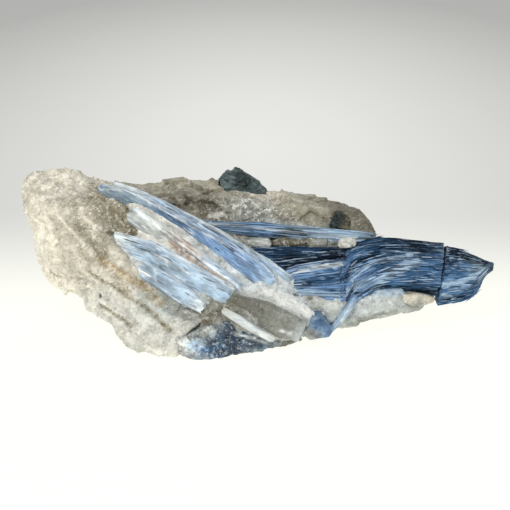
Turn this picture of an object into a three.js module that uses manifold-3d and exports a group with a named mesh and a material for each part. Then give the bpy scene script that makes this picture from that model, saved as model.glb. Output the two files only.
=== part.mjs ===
// A natural cluster of kyanite blades grown through quartz, in millimetres, +Z up.
// It stands on its own rough underside, long way along X, with its blades facing -Y.
import * as THREE from "three";
import { ConvexGeometry } from "three/addons/geometries/ConvexGeometry.js";
import { LoftGeometry } from "three/addons/geometries/LoftGeometry.js";
import { mergeVertices } from "three/addons/utils/BufferGeometryUtils.js";
import Module from "manifold-3d";

const wasm = await Module();
wasm.setup();

// ---- Driving dimensions ----
const SEAM = 0.3; // clearance between a crystal and whatever it grew against
const LUMP_GROWTH = 1.5; // a lump's corners move this many seams, so that its faces move one
const BEVEL_ACROSS = 0.38; // where a blade's flat side ends, as a share of its width
const BEVEL_DEPTH = 0.22; // how thick a blade's edge still is, as a share of its thickness
const FLOOR = 0; // the level that the cluster stands on

// ---- Minerals ----
const mineral = (color, roughness) => new THREE.MeshStandardMaterial({ color, roughness, metalness: 0 });
const milkyQuartz = mineral(0xd9d4c6, 0.35);
const clearQuartz = mineral(0xc3c8c4, 0.25);
const paleKyanite = mineral(0xaebfce, 0.35);
const blueKyanite = mineral(0x6f8fb4, 0.35);
const darkKyanite = mineral(0x2c4a6c, 0.4);
const darkMica = mineral(0x36443f, 0.5);
const creamFeldspar = mineral(0xdcdccb, 0.45);

// ---- Shapes to solids and back ----
const point = ([x, y, z]) => new THREE.Vector3(x, y, z);

function solidOf(geometry) {
  const bare = geometry.index ? geometry.toNonIndexed() : geometry.clone();
  bare.deleteAttribute("normal");
  bare.deleteAttribute("uv");
  const merged = mergeVertices(bare, 1e-4);
  const triVerts = new Uint32Array(merged.index.array);
  const vertProperties = merged.attributes.position.array;
  const solid = new wasm.Manifold(new wasm.Mesh({ numProp: 3, vertProperties, triVerts }));
  if (solid.volume() > 0) return solid;
  for (let i = 0; i < triVerts.length; i += 3) {
    [triVerts[i + 1], triVerts[i + 2]] = [triVerts[i + 2], triVerts[i + 1]];
  }
  return new wasm.Manifold(new wasm.Mesh({ numProp: 3, vertProperties, triVerts }));
}

function geometryOf(solid) {
  const mesh = solid.getMesh();
  const geometry = new THREE.BufferGeometry();
  geometry.setAttribute("position", new THREE.BufferAttribute(mesh.vertProperties, 3));
  geometry.setIndex(new THREE.BufferAttribute(mesh.triVerts, 1));
  geometry.computeVertexNormals();
  return geometry;
}

function largestBody(solid) {
  const bodies = solid.decompose();
  return bodies.reduce((best, body) => (body.volume() > best.volume() ? body : best));
}

// A broken lump: the convex hull of its corners. Grown, each corner becomes a small octahedron.
function lump(corners) {
  const make = (grow) => {
    const points = corners.map(point);
    if (!grow) return solidOf(new ConvexGeometry(points));
    const reach = grow * LUMP_GROWTH;
    const ways = [[1, 0, 0], [-1, 0, 0], [0, 1, 0], [0, -1, 0], [0, 0, 1], [0, 0, -1]];
    const grown = points.flatMap((p) => ways.map((way) => p.clone().addScaledVector(point(way), reach)));
    return solidOf(new ConvexGeometry(grown));
  };
  return { solid: make(0), grown: make(SEAM) };
}

// Several lumps grown together as one.
function aggregate(lumps) {
  const solid = lumps.map((l) => l.solid).reduce((whole, part) => whole.add(part));
  return { solid };
}

// A flat crystal blade. It follows path, faces the way of facing, and has a width and a thickness at each
// point of the path.
function blade({ path, widths, thicknesses, facing }) {
  const centres = path.map(point);
  const make = (grow) => {
    const sections = centres.map((centre, i) => {
      const before = centres[Math.max(i - 1, 0)];
      const after = centres[Math.min(i + 1, centres.length - 1)];
      const along = after.clone().sub(before).normalize();
      const across = point(facing).cross(along).normalize();
      const out = along.clone().cross(across);
      const end = i === 0 ? -grow : i === centres.length - 1 ? grow : 0;
      const halfWidth = widths[i] / 2 + grow;
      const halfDepth = thicknesses[i] / 2 + grow;
      const bevelWidth = widths[i] * BEVEL_ACROSS + grow;
      const bevelDepth = thicknesses[i] * BEVEL_DEPTH + grow * 0.6;
      const profile = [
        [halfWidth, -bevelDepth], [halfWidth, bevelDepth], [bevelWidth, halfDepth], [-bevelWidth, halfDepth],
        [-halfWidth, bevelDepth], [-halfWidth, -bevelDepth], [-bevelWidth, -halfDepth], [bevelWidth, -halfDepth],
      ];
      return profile.map(([a, o]) =>
        centre.clone().addScaledVector(along, end).addScaledVector(across, a).addScaledVector(out, o));
    });
    return solidOf(new LoftGeometry(sections, { capStart: true, capEnd: true }));
  };
  return { solid: make(0), grown: make(SEAM) };
}

// A bundle of fibres along X, lofted through sections given as [y, z] rims at each x.
function bundle(stations) {
  const make = (grow) => {
    const sections = stations.map(([x, ...rim], i) => {
      const end = i === 0 ? -grow : i === stations.length - 1 ? grow : 0;
      const middle = rim.reduce((sum, [y, z]) => [sum[0] + y / rim.length, sum[1] + z / rim.length], [0, 0]);
      return rim.map(([y, z]) => {
        const out = new THREE.Vector2(y - middle[0], z - middle[1]);
        out.setLength(out.length() + grow * LUMP_GROWTH);
        return new THREE.Vector3(x + end, middle[0] + out.x, middle[1] + out.y);
      });
    });
    return solidOf(new LoftGeometry(sections, { capStart: true, capEnd: true }));
  };
  return { solid: make(0), grown: make(SEAM) };
}

// ---- Diagonal blades on the front ----
const FRONT_FACING = [0, -1, 0.1];

const upperBlade = blade({
  path: [[-43.5, 8, 37.9], [-36, 6, 35.5], [-28.9, 4, 32.8], [-13.6, -3, 25.7], [-2.7, -8, 19.3], [3.5, -11, 15.2]],
  widths: [3.6, 4.6, 5.2, 6.6, 9.2, 7.4],
  thicknesses: [2, 2.6, 3, 3.4, 3.4, 2.2],
  facing: FRONT_FACING,
});
const rimBlade = blade({
  path: [[-39.6, 10.4, 39.2], [-26.3, 6.6, 34.4], [-11, 0.6, 27.8], [1.9, -5.4, 21.6], [9.8, -8.6, 17.4]],
  widths: [1.8, 2, 2.2, 2.4, 1.4],
  thicknesses: [3, 3.4, 3.6, 3.4, 2.4],
  facing: FRONT_FACING,
});
const paleBlade = blade({
  path: [[-34.6, 1.4, 33.6], [-32.5, 0.6, 32.3], [-23.1, -4, 26.9], [-13.5, -8, 21.1], [-3.6, -12.6, 15.9]],
  widths: [2.4, 4.2, 4.4, 4, 2.6],
  thicknesses: [2, 3.2, 3.4, 3.2, 2.4],
  facing: FRONT_FACING,
});
const lowerBlade = blade({
  path: [[-38.9, -3, 26.6], [-28.3, -7, 24.4], [-16.1, -12, 18.8], [-6.6, -15.8, 14.9]],
  widths: [4.6, 5.4, 5.4, 4.2],
  thicknesses: [3, 3.4, 3.4, 2.4],
  facing: FRONT_FACING,
});
const lowestBlade = blade({
  path: [[-34.2, -5.8, 22.2], [-26, -10, 18.4], [-19, -13.6, 14.8], [-13.2, -16.6, 12]],
  widths: [3.6, 4.6, 4.6, 3],
  thicknesses: [2.8, 3.2, 3.2, 2.2],
  facing: FRONT_FACING,
});

// ---- Blades and stubs low on the front ----
const greyBlade = blade({
  path: [[-8.4, -14.4, 13.2], [2.7, -15.6, 9.3], [12.6, -14.6, 4.8]],
  widths: [5.2, 8.6, 6.4],
  thicknesses: [2.6, 3.6, 3],
  facing: FRONT_FACING,
});
const whiteBlade = blade({
  path: [[0.6, -12.4, 15.4], [8.6, -13.4, 12.2], [15.6, -13.6, 8.2]],
  widths: [3.8, 5.6, 3.2],
  thicknesses: [2.4, 3.2, 2.2],
  facing: FRONT_FACING,
});
const whiteSplinter = blade({
  path: [[-8.8, -18, 12.2], [-2.7, -19, 8.8], [4.7, -17.6, 3.4]],
  widths: [1.5, 2.2, 1.5],
  thicknesses: [1.2, 1.8, 1.4],
  facing: FRONT_FACING,
});
const blueStub = lump([
  [12.8, -16.4, 4.4], [15.8, -15.4, 9], [17.6, -15.4, 8.7], [20.9, -14.8, 4.7], [20, -15, 3.2], [14.8, -16, 2.6],
  [12.6, -8, 4.8], [15.6, -7, 9], [17.6, -7, 8.6], [20.6, -7, 4.6], [16, -7, 2.6],
]);
const curledBlade = blade({
  path: [[27, -5.6, 12.4], [25.6, -6.6, 9.4], [23.2, -7.6, 5.9], [20.4, -8.4, 3]],
  widths: [6, 7, 7, 6],
  thicknesses: [1.7, 1.9, 1.8, 1.3],
  facing: [1, 0, -0.6],
});

// ---- Dark bundles on the right ----
const mainBundle = bundle([
  [23.6, [-6, 10.6], [6, 9.8], [12, 12], [11, 18.5], [5, 20.6], [0, 18.2], [-7, 12]],
  [28, [-7, 11.4], [6, 9], [15, 12], [14, 20], [7, 22.8], [1, 20.6], [-7.4, 13]],
  [34, [-5.6, 13.8], [6, 9], [16, 12], [15, 21], [8, 24], [2, 21.4], [-6, 15.8]],
  [41, [-3.6, 13.3], [6, 8], [16, 11], [15, 20.6], [8, 23.5], [3, 20.8], [-4.2, 15.2]],
  [50.2, [1, 9.8], [7, 6.6], [14, 10], [13, 19], [8, 22.3], [4, 19.6], [-0.6, 13.2]],
]);
const tipBundle = bundle([
  [50.6, [1.2, 6.4], [8, 6], [13.4, 10], [12.4, 18.4], [8, 22], [4, 19.2], [-0.4, 13]],
  [57.5, [2, 7.2], [8, 7.5], [11, 11], [10, 17], [6, 20.9], [3, 18.4], [0.6, 13.2]],
  [61.5, [2.6, 8.8], [7, 9], [9, 12], [8, 17], [5.4, 19.3], [3, 17.6], [1.9, 13.6]],
  [64.2, [3.6, 14.2], [5.6, 14.2], [6.8, 15.4], [6.2, 17.2], [4.6, 18.3], [3.6, 17.4], [3, 15.8]],
  [66.4, [4, 16.3], [4.6, 16.3], [5, 16.8], [4.8, 17.4], [4.4, 17.7], [4, 17.5], [3.8, 16.9]],
]);
const fanBundle = bundle([
  [1.8, [-8.4, 14.6], [-6, 14.6], [-6, 15.6], [-7, 16], [-8.6, 15.4]],
  [12.3, [-8.2, 12.4], [0, 12], [0, 18.2], [-3.6, 19.2], [-7.2, 16.4]],
  [24.6, [-8.2, 11.3], [2, 11], [4, 19], [0, 20], [-5.2, 16.4]],
]);
const shadowBundle = bundle([
  [-7, [1.6, 19.8], [9, 19.6], [9.4, 21.6], [4.6, 22.1], [1.2, 21]],
  [4, [-1, 16.4], [9, 16], [10, 21.5], [4, 21.9], [-1.6, 18.6]],
  [14, [-1, 17.4], [9, 16.5], [10, 21.4], [4.4, 21.8], [-0.6, 19.2]],
  [25.4, [0.8, 18], [10, 17], [11, 20.9], [5, 21.6], [0.4, 19.6]],
]);
const backBlade = blade({
  path: [[-15.4, 9, 27.2], [1.4, 9.4, 26], [18.3, 9.8, 24.4], [33.6, 10, 23.3]],
  widths: [2.2, 3.2, 3.4, 2.2],
  thicknesses: [3, 4, 4, 3],
  facing: FRONT_FACING,
});

// ---- Grains and dark minerals ----
const leftGrain = lump([
  [-4.6, 5.6, 22.6], [-4, 5, 24], [0.4, 4.4, 24.4], [4.2, 4.6, 24.2], [4.8, 4.8, 22.8], [3.6, 4.6, 22.2],
  [-1, 4.6, 22.2], [-4.4, 9, 23], [4.4, 9, 22.6], [4, 9, 24], [-3.6, 9, 24],
]);
const rightGrain = lump([
  [23.2, 4, 22.4], [23.4, 4, 24.2], [26, 3.4, 24.6], [28.2, 3.8, 24.2], [28, 4, 22.8], [25.6, 3.4, 22.2],
  [23.6, 8.4, 22.6], [23.8, 8.4, 24], [27.8, 8.4, 24], [27.6, 8.4, 22.8],
]);
const creamLens = lump([
  [40.6, -4.8, 11.8], [45.5, -3.4, 11.4], [50.2, 0, 9], [49.8, 0.4, 7.4], [43.3, -4, 7.9], [40.2, -4.8, 9.6],
  [41, 2, 11.2], [49, 4, 9], [48.6, 4, 7.6], [41, 2, 8.6],
]);
const micaKnob = lump([
  [-10.4, 24, 36.9], [-8.2, 24, 39], [-5, 24.6, 39.5], [-2.4, 24.6, 38.4], [1, 24, 35.4], [4.2, 23.4, 31.4],
  [-4.3, 19.6, 33], [-9.4, 20.4, 34.4], [2, 20.4, 32], [-9.4, 29, 36.6], [-5.4, 30.4, 38.4], [0.4, 29.6, 35],
  [3.4, 29, 31.6], [-8.4, 28, 31], [-2.6, 21.4, 36.6],
]);
const micaSpot = lump([
  [20.9, 11.4, 27.6], [23.9, 12.4, 30.2], [26.9, 12, 28.2], [26.8, 11, 25.4], [22, 10.8, 24.8],
  [21.6, 16, 27.4], [24.2, 16.4, 29.4], [26.4, 16, 27.4], [23.4, 16, 25],
]);
const darkFoot = lump([
  [-20.6, -22.4, 4.8], [-14.6, -20.6, 8.2], [-6.1, -18.4, 9.4], [2.6, -16.6, 4.8], [13.2, -12.6, 1.5],
  [6, -14.4, FLOOR], [0.6, -17.6, FLOOR], [-2.7, -17, FLOOR], [-7.2, -20, 0.4], [-10.6, -23, 0.4],
  [-15.8, -24, FLOOR], [-19.8, -23.2, 0.6], [-17, -12, FLOOR], [-16, -12, 6], [-4, -11, 7], [12, -8, 2.6],
  [10, -8, FLOOR],
]);

// ---- Quartz that holds it all ----
const quartzLumps = [
  // the head, high on the left
  lump([
    [-65.2, 10, 38.6], [-64.4, 13, 33.4], [-62.6, 11, 42], [-57.6, 11, 43.4], [-53, 13, 43], [-48.4, 11, 40.6],
    [-63.4, 4, 33.6], [-60, -1, 36.6], [-54, -3.6, 37.4], [-48.4, -2, 36.6], [-60.6, 1, 28.6], [-51, -5.4, 30],
    [-44.6, 3, 36], [-60, 22, 38], [-50, 26, 38], [-63, 20, 30], [-48, 26, 26], [-56, 20, 24],
  ]),
  lump([
    [-49, 9, 40.4], [-44, 9.4, 39], [-38, 14, 37.4], [-36, 24, 35.6], [-48, 24, 36], [-45, 0, 35.6],
    [-36, 3, 34.6], [-34, 1.6, 31], [-46, -4.6, 28], [-36, -2, 26], [-44, 22, 22], [-32, 20, 22],
  ]),
  // the shoulder below the head
  lump([
    [-62.2, 5, 29.6], [-61.6, 4.6, 24.6], [-59.6, 3, 18.2], [-57, 1.6, 13.2], [-52, -1.4, 11.5], [-45.4, -4, 11],
    [-57, -5, 25], [-51, -8.4, 26], [-45, -9.4, 23], [-49, -8, 15], [-43.4, -7, 11.6], [-44, -7, 29],
    [-60, 16, 24], [-56, 22, 14], [-46, 24, 6], [-42, 4, 9],
  ]),
  lump([
    [-46, -6, 29.6], [-40, -5, 27.6], [-40.6, -9.6, 23], [-46, -9.6, 20], [-41, -10.4, 15.4], [-35.6, -12, 17],
    [-30, -9.6, 20], [-36, -4, 26], [-44, 4, 12], [-34, 4, 12], [-38, 10, 30],
  ]),
  // the neck between head and shoulder, and the stone behind and below it
  lump([
    [-56, -2, 33], [-50.5, -5.4, 34], [-45.6, -6.4, 30.4], [-43.6, -9.4, 27.6], [-42, -9.8, 23], [-50, -8, 27],
    [-45, -4.8, 34.6], [-39.4, -6.4, 27.4], [-57, 10, 30], [-43, 12, 34], [-42, 12, 20], [-55, 10, 20],
  ]),
  lump([
    [-58, 18, 28], [-50, 26, 30], [-40, 27, 33], [-34, 27, 34], [-36, 31, 18], [-40, 29, 6], [-50, 24, 12],
    [-46, 4, 22], [-36, 2, 22], [-52, 12, 12], [-38, 8, 5], [-38, 10, 34],
  ]),
  lump([
    [-46, -6.4, 12], [-41, -9.8, 15.4], [-36, -12, 17], [-35.6, -13, 13], [-42.6, -9.2, 11.4], [-46, 6, 9],
    [-34, 6, 5], [-34, 4, 20], [-47, 6, 18],
  ]),
  // lobes at the front, stepping down to the floor
  lump([
    [-46.9, -8, 8.8], [-45.6, -7.4, 11], [-43, -9.4, 12.6], [-40.6, -12.4, 7.2], [-40, -12.4, 11.6],
    [-33, -14.6, 14.6], [-26, -16.4, 13.4], [-25, -17.6, 9], [-34, -15.6, 6.6], [-32, -8, 18], [-24, -10, 16],
    [-44, 2, 5], [-30, 0, 2],
  ]),
  lump([
    [-38.4, -14, 6.2], [-35.9, -16.6, 2.2], [-30.6, -20.4, 0.9], [-21, -23, 0.8], [-17, -23.6, 0.8],
    [-26, -20.6, 5.6], [-33, -17.6, 7.4], [-18, -21.4, 6.6], [-14, -19, 9], [-22, -18.4, 10.4],
    [-28, -14, FLOOR], [-18, -16, FLOOR], [-34, 0, 1], [-16, -6, FLOOR], [-10, -16, 8],
  ]),
  // the core behind the blades
  lump([
    [-44, 9.6, 37.8], [-44, 20, 36.6], [-30, 5.6, 33], [-30, 16, 34], [-38.6, -1.4, 28.8], [-38, -5, 20],
    [-30, -9.4, 16], [-20, -13, 11.6], [-12, -15, 10.4], [-13, -1.4, 25.6], [-12, 12, 26.6], [-4, -13.4, 10],
    [-2, -6.2, 18.8], [6, -9.6, 13.6], [10, -7, 14.6], [10, 8, 20], [-20, -12, 2], [0, -12, 2], [-40, 22, 3],
    [10, 18, 3],
  ]),
  lump([
    [-38, 20, FLOOR], [-36, 29, FLOOR], [-44, 24, 14], [-24, -12, FLOOR], [2, -11, FLOOR], [14, -6, FLOOR],
    [24, 4, FLOOR], [30, 16, FLOOR], [28, 26, FLOOR], [34, 18, 10], [30, 26, 14], [-30, 30, 18], [0, 31, 16],
    [10, -10, 6], [22, -8, 4], [26, -6, 6],
  ]),
  // translucent fan below the dark bundles
  lump([
    [1.4, -9.4, 14.8], [9, -9.6, 14.2], [16, -9.8, 12.4], [25, -8.4, 10.8], [23, -9.6, 5], [16, -11.4, 4.6],
    [6, -12, 6], [2, -2, 15], [24, 2, 11], [22, 4, 4], [4, 0, 4],
  ]),
  // the ledge between the back blade and the shadowed bundle
  lump([
    [-16, 7.6, 26.4], [-8, 6, 22.6], [24, 6.4, 21.8], [29, 7, 22.6], [29, 8, 24], [-6, 7, 25.4], [20, 8, 25],
    [-14, 14, 27], [30, 14, 24], [28, 14, 18], [-10, 14, 18],
  ]),
  // white quartz under the main bundle
  lump([
    [26.6, -7.4, 11.4], [30.2, -6.6, 13.2], [39.8, -4.4, 13.2], [49.8, 0.2, 9], [49.4, 0.8, 6.6], [40.1, -2.6, 5.5],
    [28.7, -7.4, 4.6], [23.6, -7.6, 3.6], [46, 8, 4], [36, 14, 2], [28, 14, 2], [48, 8, 8], [40, 8, 12],
    [28, 8, 12], [22, 0, 2],
  ]),
  // the smoky ridge along the back
  lump([
    [-38.6, 17, 35.4], [-37.3, 22, 36.2], [-28.8, 24, 35], [-17.4, 26, 35.7], [-10, 26, 36.4], [0, 27, 33.6],
    [-34, 14, 32.6], [-26, 14.4, 33.6], [-14, 15, 33.6], [0, 14.6, 32.6], [-22, 12, 27.4], [-9.9, 11.6, 27.4],
    [2, 11.4, 25.8], [-40, 26, 22], [-36, 31, 14], [-12, 33, 26], [2, 32, 22], [-10, 30, 34], [2, 14, 16],
    [-30, 14, 16], [-28, 30, 32],
  ]),
  lump([
    [-2, 26, 33.6], [8.4, 26.4, 32], [15.9, 25.6, 30.2], [23.2, 24.6, 29.8], [29.4, 22.6, 29], [33, 20, 24.8],
    [35.2, 17, 21.6], [-2, 14.4, 32.4], [12.8, 14.8, 31.6], [24, 14.8, 30.2], [30, 14.6, 28], [12.7, 11.2, 25],
    [25, 11.4, 24], [33, 13, 22.6], [-2, 32, 24], [14, 31, 24], [28, 28.6, 22], [33.4, 24, 16], [30, 26, 8],
    [-2, 14, 14], [30, 14, 12],
  ]),
];

// ---- Assembly: each crystal is cut back from those before it, and the quartz is moulded round them all ----
const pieces = [
  ["upper_blade", upperBlade, blueKyanite],
  ["pale_blade", paleBlade, paleKyanite],
  ["lower_blade", lowerBlade, paleKyanite],
  ["lowest_blade", lowestBlade, paleKyanite],
  ["rim_blade", rimBlade, paleKyanite],
  ["white_splinter", whiteSplinter, clearQuartz],
  ["blue_stub", blueStub, blueKyanite],
  ["grey_blade", greyBlade, clearQuartz],
  ["white_blade", whiteBlade, clearQuartz],
  ["curled_blade", curledBlade, paleKyanite],
  ["main_bundle", mainBundle, darkKyanite],
  ["tip_bundle", tipBundle, darkKyanite],
  ["fan_bundle", fanBundle, darkKyanite],
  ["back_blade", backBlade, darkKyanite],
  ["shadow_bundle", shadowBundle, darkKyanite],
  ["left_grain", leftGrain, milkyQuartz],
  ["right_grain", rightGrain, milkyQuartz],
  ["cream_lens", creamLens, creamFeldspar],
  ["dark_foot", darkFoot, darkKyanite],
  ["mica_knob", micaKnob, darkMica],
  ["mica_spot", micaSpot, darkMica],
  ["quartz_matrix", aggregate(quartzLumps), milkyQuartz],
];

const cluster = new THREE.Group();
const placed = [];
for (const [name, shape, material] of pieces) {
  const cut = placed.reduce((rest, other) => rest.subtract(other.grown), shape.solid);
  const mesh = new THREE.Mesh(geometryOf(largestBody(cut)), material);
  mesh.name = name;
  cluster.add(mesh);
  placed.push(shape);
}

// The origin is at the middle of the cluster's box, on the surface that it stands on.
const part = new THREE.Group();
part.add(cluster);
const box = new THREE.Box3().setFromObject(cluster);
const middle = box.getCenter(new THREE.Vector3());
cluster.position.set(-middle.x, -middle.y, -box.min.z);

export default part;
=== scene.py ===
"""The finished looks of a kyanite blade cluster in quartz, built round its frame and laid out as an add-on."""
import math

import bmesh
import bpy
import numpy as np
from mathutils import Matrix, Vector, noise


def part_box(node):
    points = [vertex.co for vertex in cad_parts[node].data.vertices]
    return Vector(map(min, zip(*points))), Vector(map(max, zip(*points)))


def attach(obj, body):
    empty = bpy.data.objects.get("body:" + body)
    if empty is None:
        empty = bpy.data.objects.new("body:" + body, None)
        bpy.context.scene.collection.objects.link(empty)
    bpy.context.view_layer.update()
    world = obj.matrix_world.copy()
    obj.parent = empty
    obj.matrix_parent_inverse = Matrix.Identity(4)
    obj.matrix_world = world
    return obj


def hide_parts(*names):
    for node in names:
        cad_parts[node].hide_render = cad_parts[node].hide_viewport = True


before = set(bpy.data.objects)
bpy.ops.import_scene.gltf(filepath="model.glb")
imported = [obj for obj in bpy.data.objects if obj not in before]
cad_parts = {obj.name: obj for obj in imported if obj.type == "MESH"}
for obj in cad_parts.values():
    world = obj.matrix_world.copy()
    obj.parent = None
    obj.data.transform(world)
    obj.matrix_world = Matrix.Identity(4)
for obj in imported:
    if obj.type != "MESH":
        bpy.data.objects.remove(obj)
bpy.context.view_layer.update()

bl_info = {
    "name": "Kyanite blade cluster",
    "version": (1, 0, 0),
    "blender": (4, 5, 0),
    "location": "3D View > Sidebar > Kyanite",
    "description": "Builds the finished surfaces of a cluster of kyanite blades in quartz",
    "category": "Add Mesh",
}

MM = 0.001
BODY = "root"
FRONT = np.array(Vector((0, -1, 0.1)).normalized())  # the way that the blades' flat sides face


def linear(hex_colour):
    """An sRGB hex colour as linear red, green and blue."""
    channels = [int(hex_colour[i:i + 2], 16) / 255 for i in (1, 3, 5)]
    return [c / 12.92 if c <= 0.04045 else ((c + 0.055) / 1.055) ** 2.4 for c in channels]


# ---- Sizes and colours that a user would change ----
def length_property(name, description, millimetres):
    return bpy.props.FloatProperty(
        name=name, description=description, default=millimetres * MM, unit="LENGTH")


def colour_property(name, description, hex_colour):
    return bpy.props.FloatVectorProperty(
        name=name, description=description, default=linear(hex_colour), subtype="COLOR", size=3, min=0, max=1)


class ClusterSizes(bpy.types.PropertyGroup):
    """How coarse the cluster's surfaces are."""
    rock_step: length_property("Rock mesh step", "Voxel size of the broken quartz", 0.56)
    small_rock_step: length_property("Small rock mesh step", "Voxel size of the small lumps and grains", 0.34)
    blade_step: length_property("Blade mesh step", "Distance between points around a blade", 0.2)
    strand_width: length_property("Strand width", "Width of a fibre on the bundles", 0.55)
    strand_height: length_property("Strand height", "How far a fibre stands out", 0.2)
    lamina_width: length_property("Lamina width", "Width of a cleavage step on a blade", 1.7)
    lamina_step: length_property("Lamina step", "How high a cleavage step is", 0.16)
    sliver_length: length_property("Sliver length", "Length of the slivers on blades and bundles", 6.5)
    chip_size: length_property("Chip size", "Size of the broken grains on the quartz", 1.0)


class ClusterColours(bpy.types.PropertyGroup):
    """The minerals' main colours."""
    cream: colour_property("Cream quartz", "The head of the cluster", "#d9d2c0")
    ivory: colour_property("Ivory quartz", "The shoulder below the head", "#faf3e1")
    buff: colour_property("Buff quartz", "Where the shoulder meets the blades", "#c2bba8")
    # Partly the quartz's smoky brown and partly painted shade, in the wedge and in the sunk cracks.
    smoke: colour_property("Smoky quartz", "The wedge between the head and the blades", "#938b73")
    # Partly the ridge's brown smoky quartz and partly painted light, lighter along its top.
    umber: colour_property("Brown smoky quartz", "The ridge along the back", "#9e9883")
    # Partly the smoky quartz's own dark and partly painted shade, on the ridge's face and on the sunk lines
    # marked with it.
    dusk: colour_property("Shaded smoky quartz", "The ridge's shaded face", "#6c6653")
    # Painted shade: tan darkens the sunk strip beside the lowest blade, below the lower blades.
    tan: colour_property("Shaded tan quartz", "The painted shade beside the lowest blade", "#a9946d")
    frost: colour_property("Frosty quartz", "The lobes at the front", "#dedcd1")
    slate: colour_property("Grey quartz", "The quartz beside the dark foot", "#93958c")
    glass: colour_property("Glassy quartz", "The clearer quartz under the dark bundles", "#c6cac3")
    # Painted shade: olive darkens the hollow under the blades and the bed between them; it also darkens the
    # grey blade's upper end.
    olive: colour_property("Shaded olive quartz", "The shaded hollow under the blades", "#77766a")
    rose: colour_property("Pinkish quartz", "The stain between the pale blades", "#b8a28f")
    # Painted shade: this dark goes into the sunk holes in the ridge, the notch low at the front and a dot sunk
    # into the bed.
    hole_shade: colour_property("Shade in holes", "The holes in the ridge", "#3c352a")
    ink: colour_property("Ink blue", "The darkest kyanite", "#0f1e2e")
    navy: colour_property("Navy blue", "The shaded fibres of the bundles", "#24405b")
    denim: colour_property("Denim blue", "The bundles' lit fibres", "#466d93")
    sky: colour_property("Sky blue", "The upper blade and the fan", "#7093bb")
    steel: colour_property("Steel blue", "Where blue kyanite is dusty", "#7e929f")
    ice: colour_property("Ice blue", "The pale blades", "#a9c0d3")
    pearl: colour_property("Pearly kyanite", "The pale blades' dusty ends", "#d0d7d7")
    moss: colour_property("Mica's sheen", "Where the mica catches the light", "#566463")
    night: colour_property("Dark mica", "The mica's shaded flakes", "#222e2d")
    white: colour_property("White kyanite", "Bruised edges and splinters", "#eef1ee")


# ---- Nodes ----
def add(tree, kind, inputs=None, **settings):
    """Adds a node to a tree with its settings. An input is a value, or a socket or node to link from."""
    node = tree.nodes.new(kind)
    for name, value in settings.items():
        setattr(node, name, value)
    for key, value in (inputs or {}).items():
        if isinstance(value, bpy.types.Node):
            value = value.outputs[0]
        if isinstance(value, bpy.types.NodeSocket):
            tree.links.new(value, node.inputs[key])
        else:
            node.inputs[key].default_value = value
    return node


def new_material(name):
    material = bpy.data.materials.new(name)
    material.use_nodes = True
    material.node_tree.nodes.clear()
    return material, material.node_tree


def new_geometry_tree(name, names):
    """A geometry tree with a geometry going in and out, and a float input for each of the names."""
    tree = bpy.data.node_groups.new(name, "GeometryNodeTree")
    tree.interface.new_socket(name="Geometry", in_out="INPUT", socket_type="NodeSocketGeometry")
    for size in names:
        tree.interface.new_socket(name=size, in_out="INPUT", socket_type="NodeSocketFloat")
    tree.interface.new_socket(name="Template", in_out="INPUT", socket_type="NodeSocketObject")
    tree.interface.new_socket(name="Material", in_out="INPUT", socket_type="NodeSocketMaterial")
    tree.interface.new_socket(name="Geometry", in_out="OUTPUT", socket_type="NodeSocketGeometry")
    return tree, add(tree, "NodeGroupInput").outputs


def close_geometry_tree(tree, ins, geometry):
    """Ends a geometry tree in real mesh with its material."""
    realized = add(tree, "GeometryNodeRealizeInstances", {"Geometry": geometry})
    coated = add(tree, "GeometryNodeSetMaterial", {"Geometry": realized, "Material": ins["Material"]})
    add(tree, "NodeGroupOutput", {0: coated})
    return tree


def settled(piece, tree, values):
    """Runs a geometry tree on a piece with the given inputs, and leaves the piece a plain mesh."""
    modifier = piece.modifiers.new(tree.name, "NODES")
    modifier.node_group = tree
    for item in tree.interface.items_tree:
        if item.in_out == "INPUT" and item.name in values:
            modifier[item.identifier] = values[item.name]
    return made_plain(piece)


def made_plain(piece):
    """Turns a piece with its modifiers into a plain mesh."""
    bpy.context.view_layer.update()
    depsgraph = bpy.context.evaluated_depsgraph_get()
    shape = piece.evaluated_get(depsgraph)
    mesh = bpy.data.meshes.new_from_object(shape, preserve_all_data_layers=True, depsgraph=depsgraph)
    piece.modifiers.clear()
    old = piece.data
    piece.data = mesh
    bpy.data.meshes.remove(old)
    return piece


# ---- Mesh helpers ----
def new_piece(name, vertices, faces):
    mesh = bpy.data.meshes.new(name)
    mesh.from_pydata(vertices, [], faces)
    mesh.update()
    piece = bpy.data.objects.new(name, mesh)
    bpy.context.scene.collection.objects.link(piece)
    return piece


def merged_copy(name, *nodes):
    """A new piece holding copies of CAD nodes, with their loose triangles merged."""
    work = bmesh.new()
    for node in nodes:
        work.from_mesh(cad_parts[node].data)
    bmesh.ops.remove_doubles(work, verts=work.verts, dist=0.001 * MM)
    piece = new_piece(name, [], [])
    work.to_mesh(piece.data)
    work.free()
    return piece


def points_of(mesh):
    points = np.zeros(len(mesh.vertices) * 3, np.float32)
    mesh.vertices.foreach_get("co", points)
    return points.reshape(-1, 3).astype(float)


def store(mesh, name, kind, values):
    """Stores one value for each vertex as an attribute."""
    field = {"FLOAT": "value", "FLOAT_VECTOR": "vector", "FLOAT_COLOR": "color"}[kind]
    attribute = mesh.attributes.new(name, kind, "POINT")
    attribute.data.foreach_set(field, np.ascontiguousarray(values, np.float32).ravel())


NOISE_SEED = 5


def wandered(points, size, reach, seed):
    """Points moved by smooth noise, so that what is measured from them gets natural borders."""
    noise.seed_set(NOISE_SEED)  # without it noise_vector changes from run to run
    shift = Vector((seed * 17.3, seed * 5.1, -seed * 9.7))
    moves = [noise.noise_vector(Vector(p) / size + shift) for p in points]
    return points + np.array(moves) * reach


MARK_PATCH = 1.1 * MM
DEPTH_SHARE = 0.12  # how much a mark's distance counts depth


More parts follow.
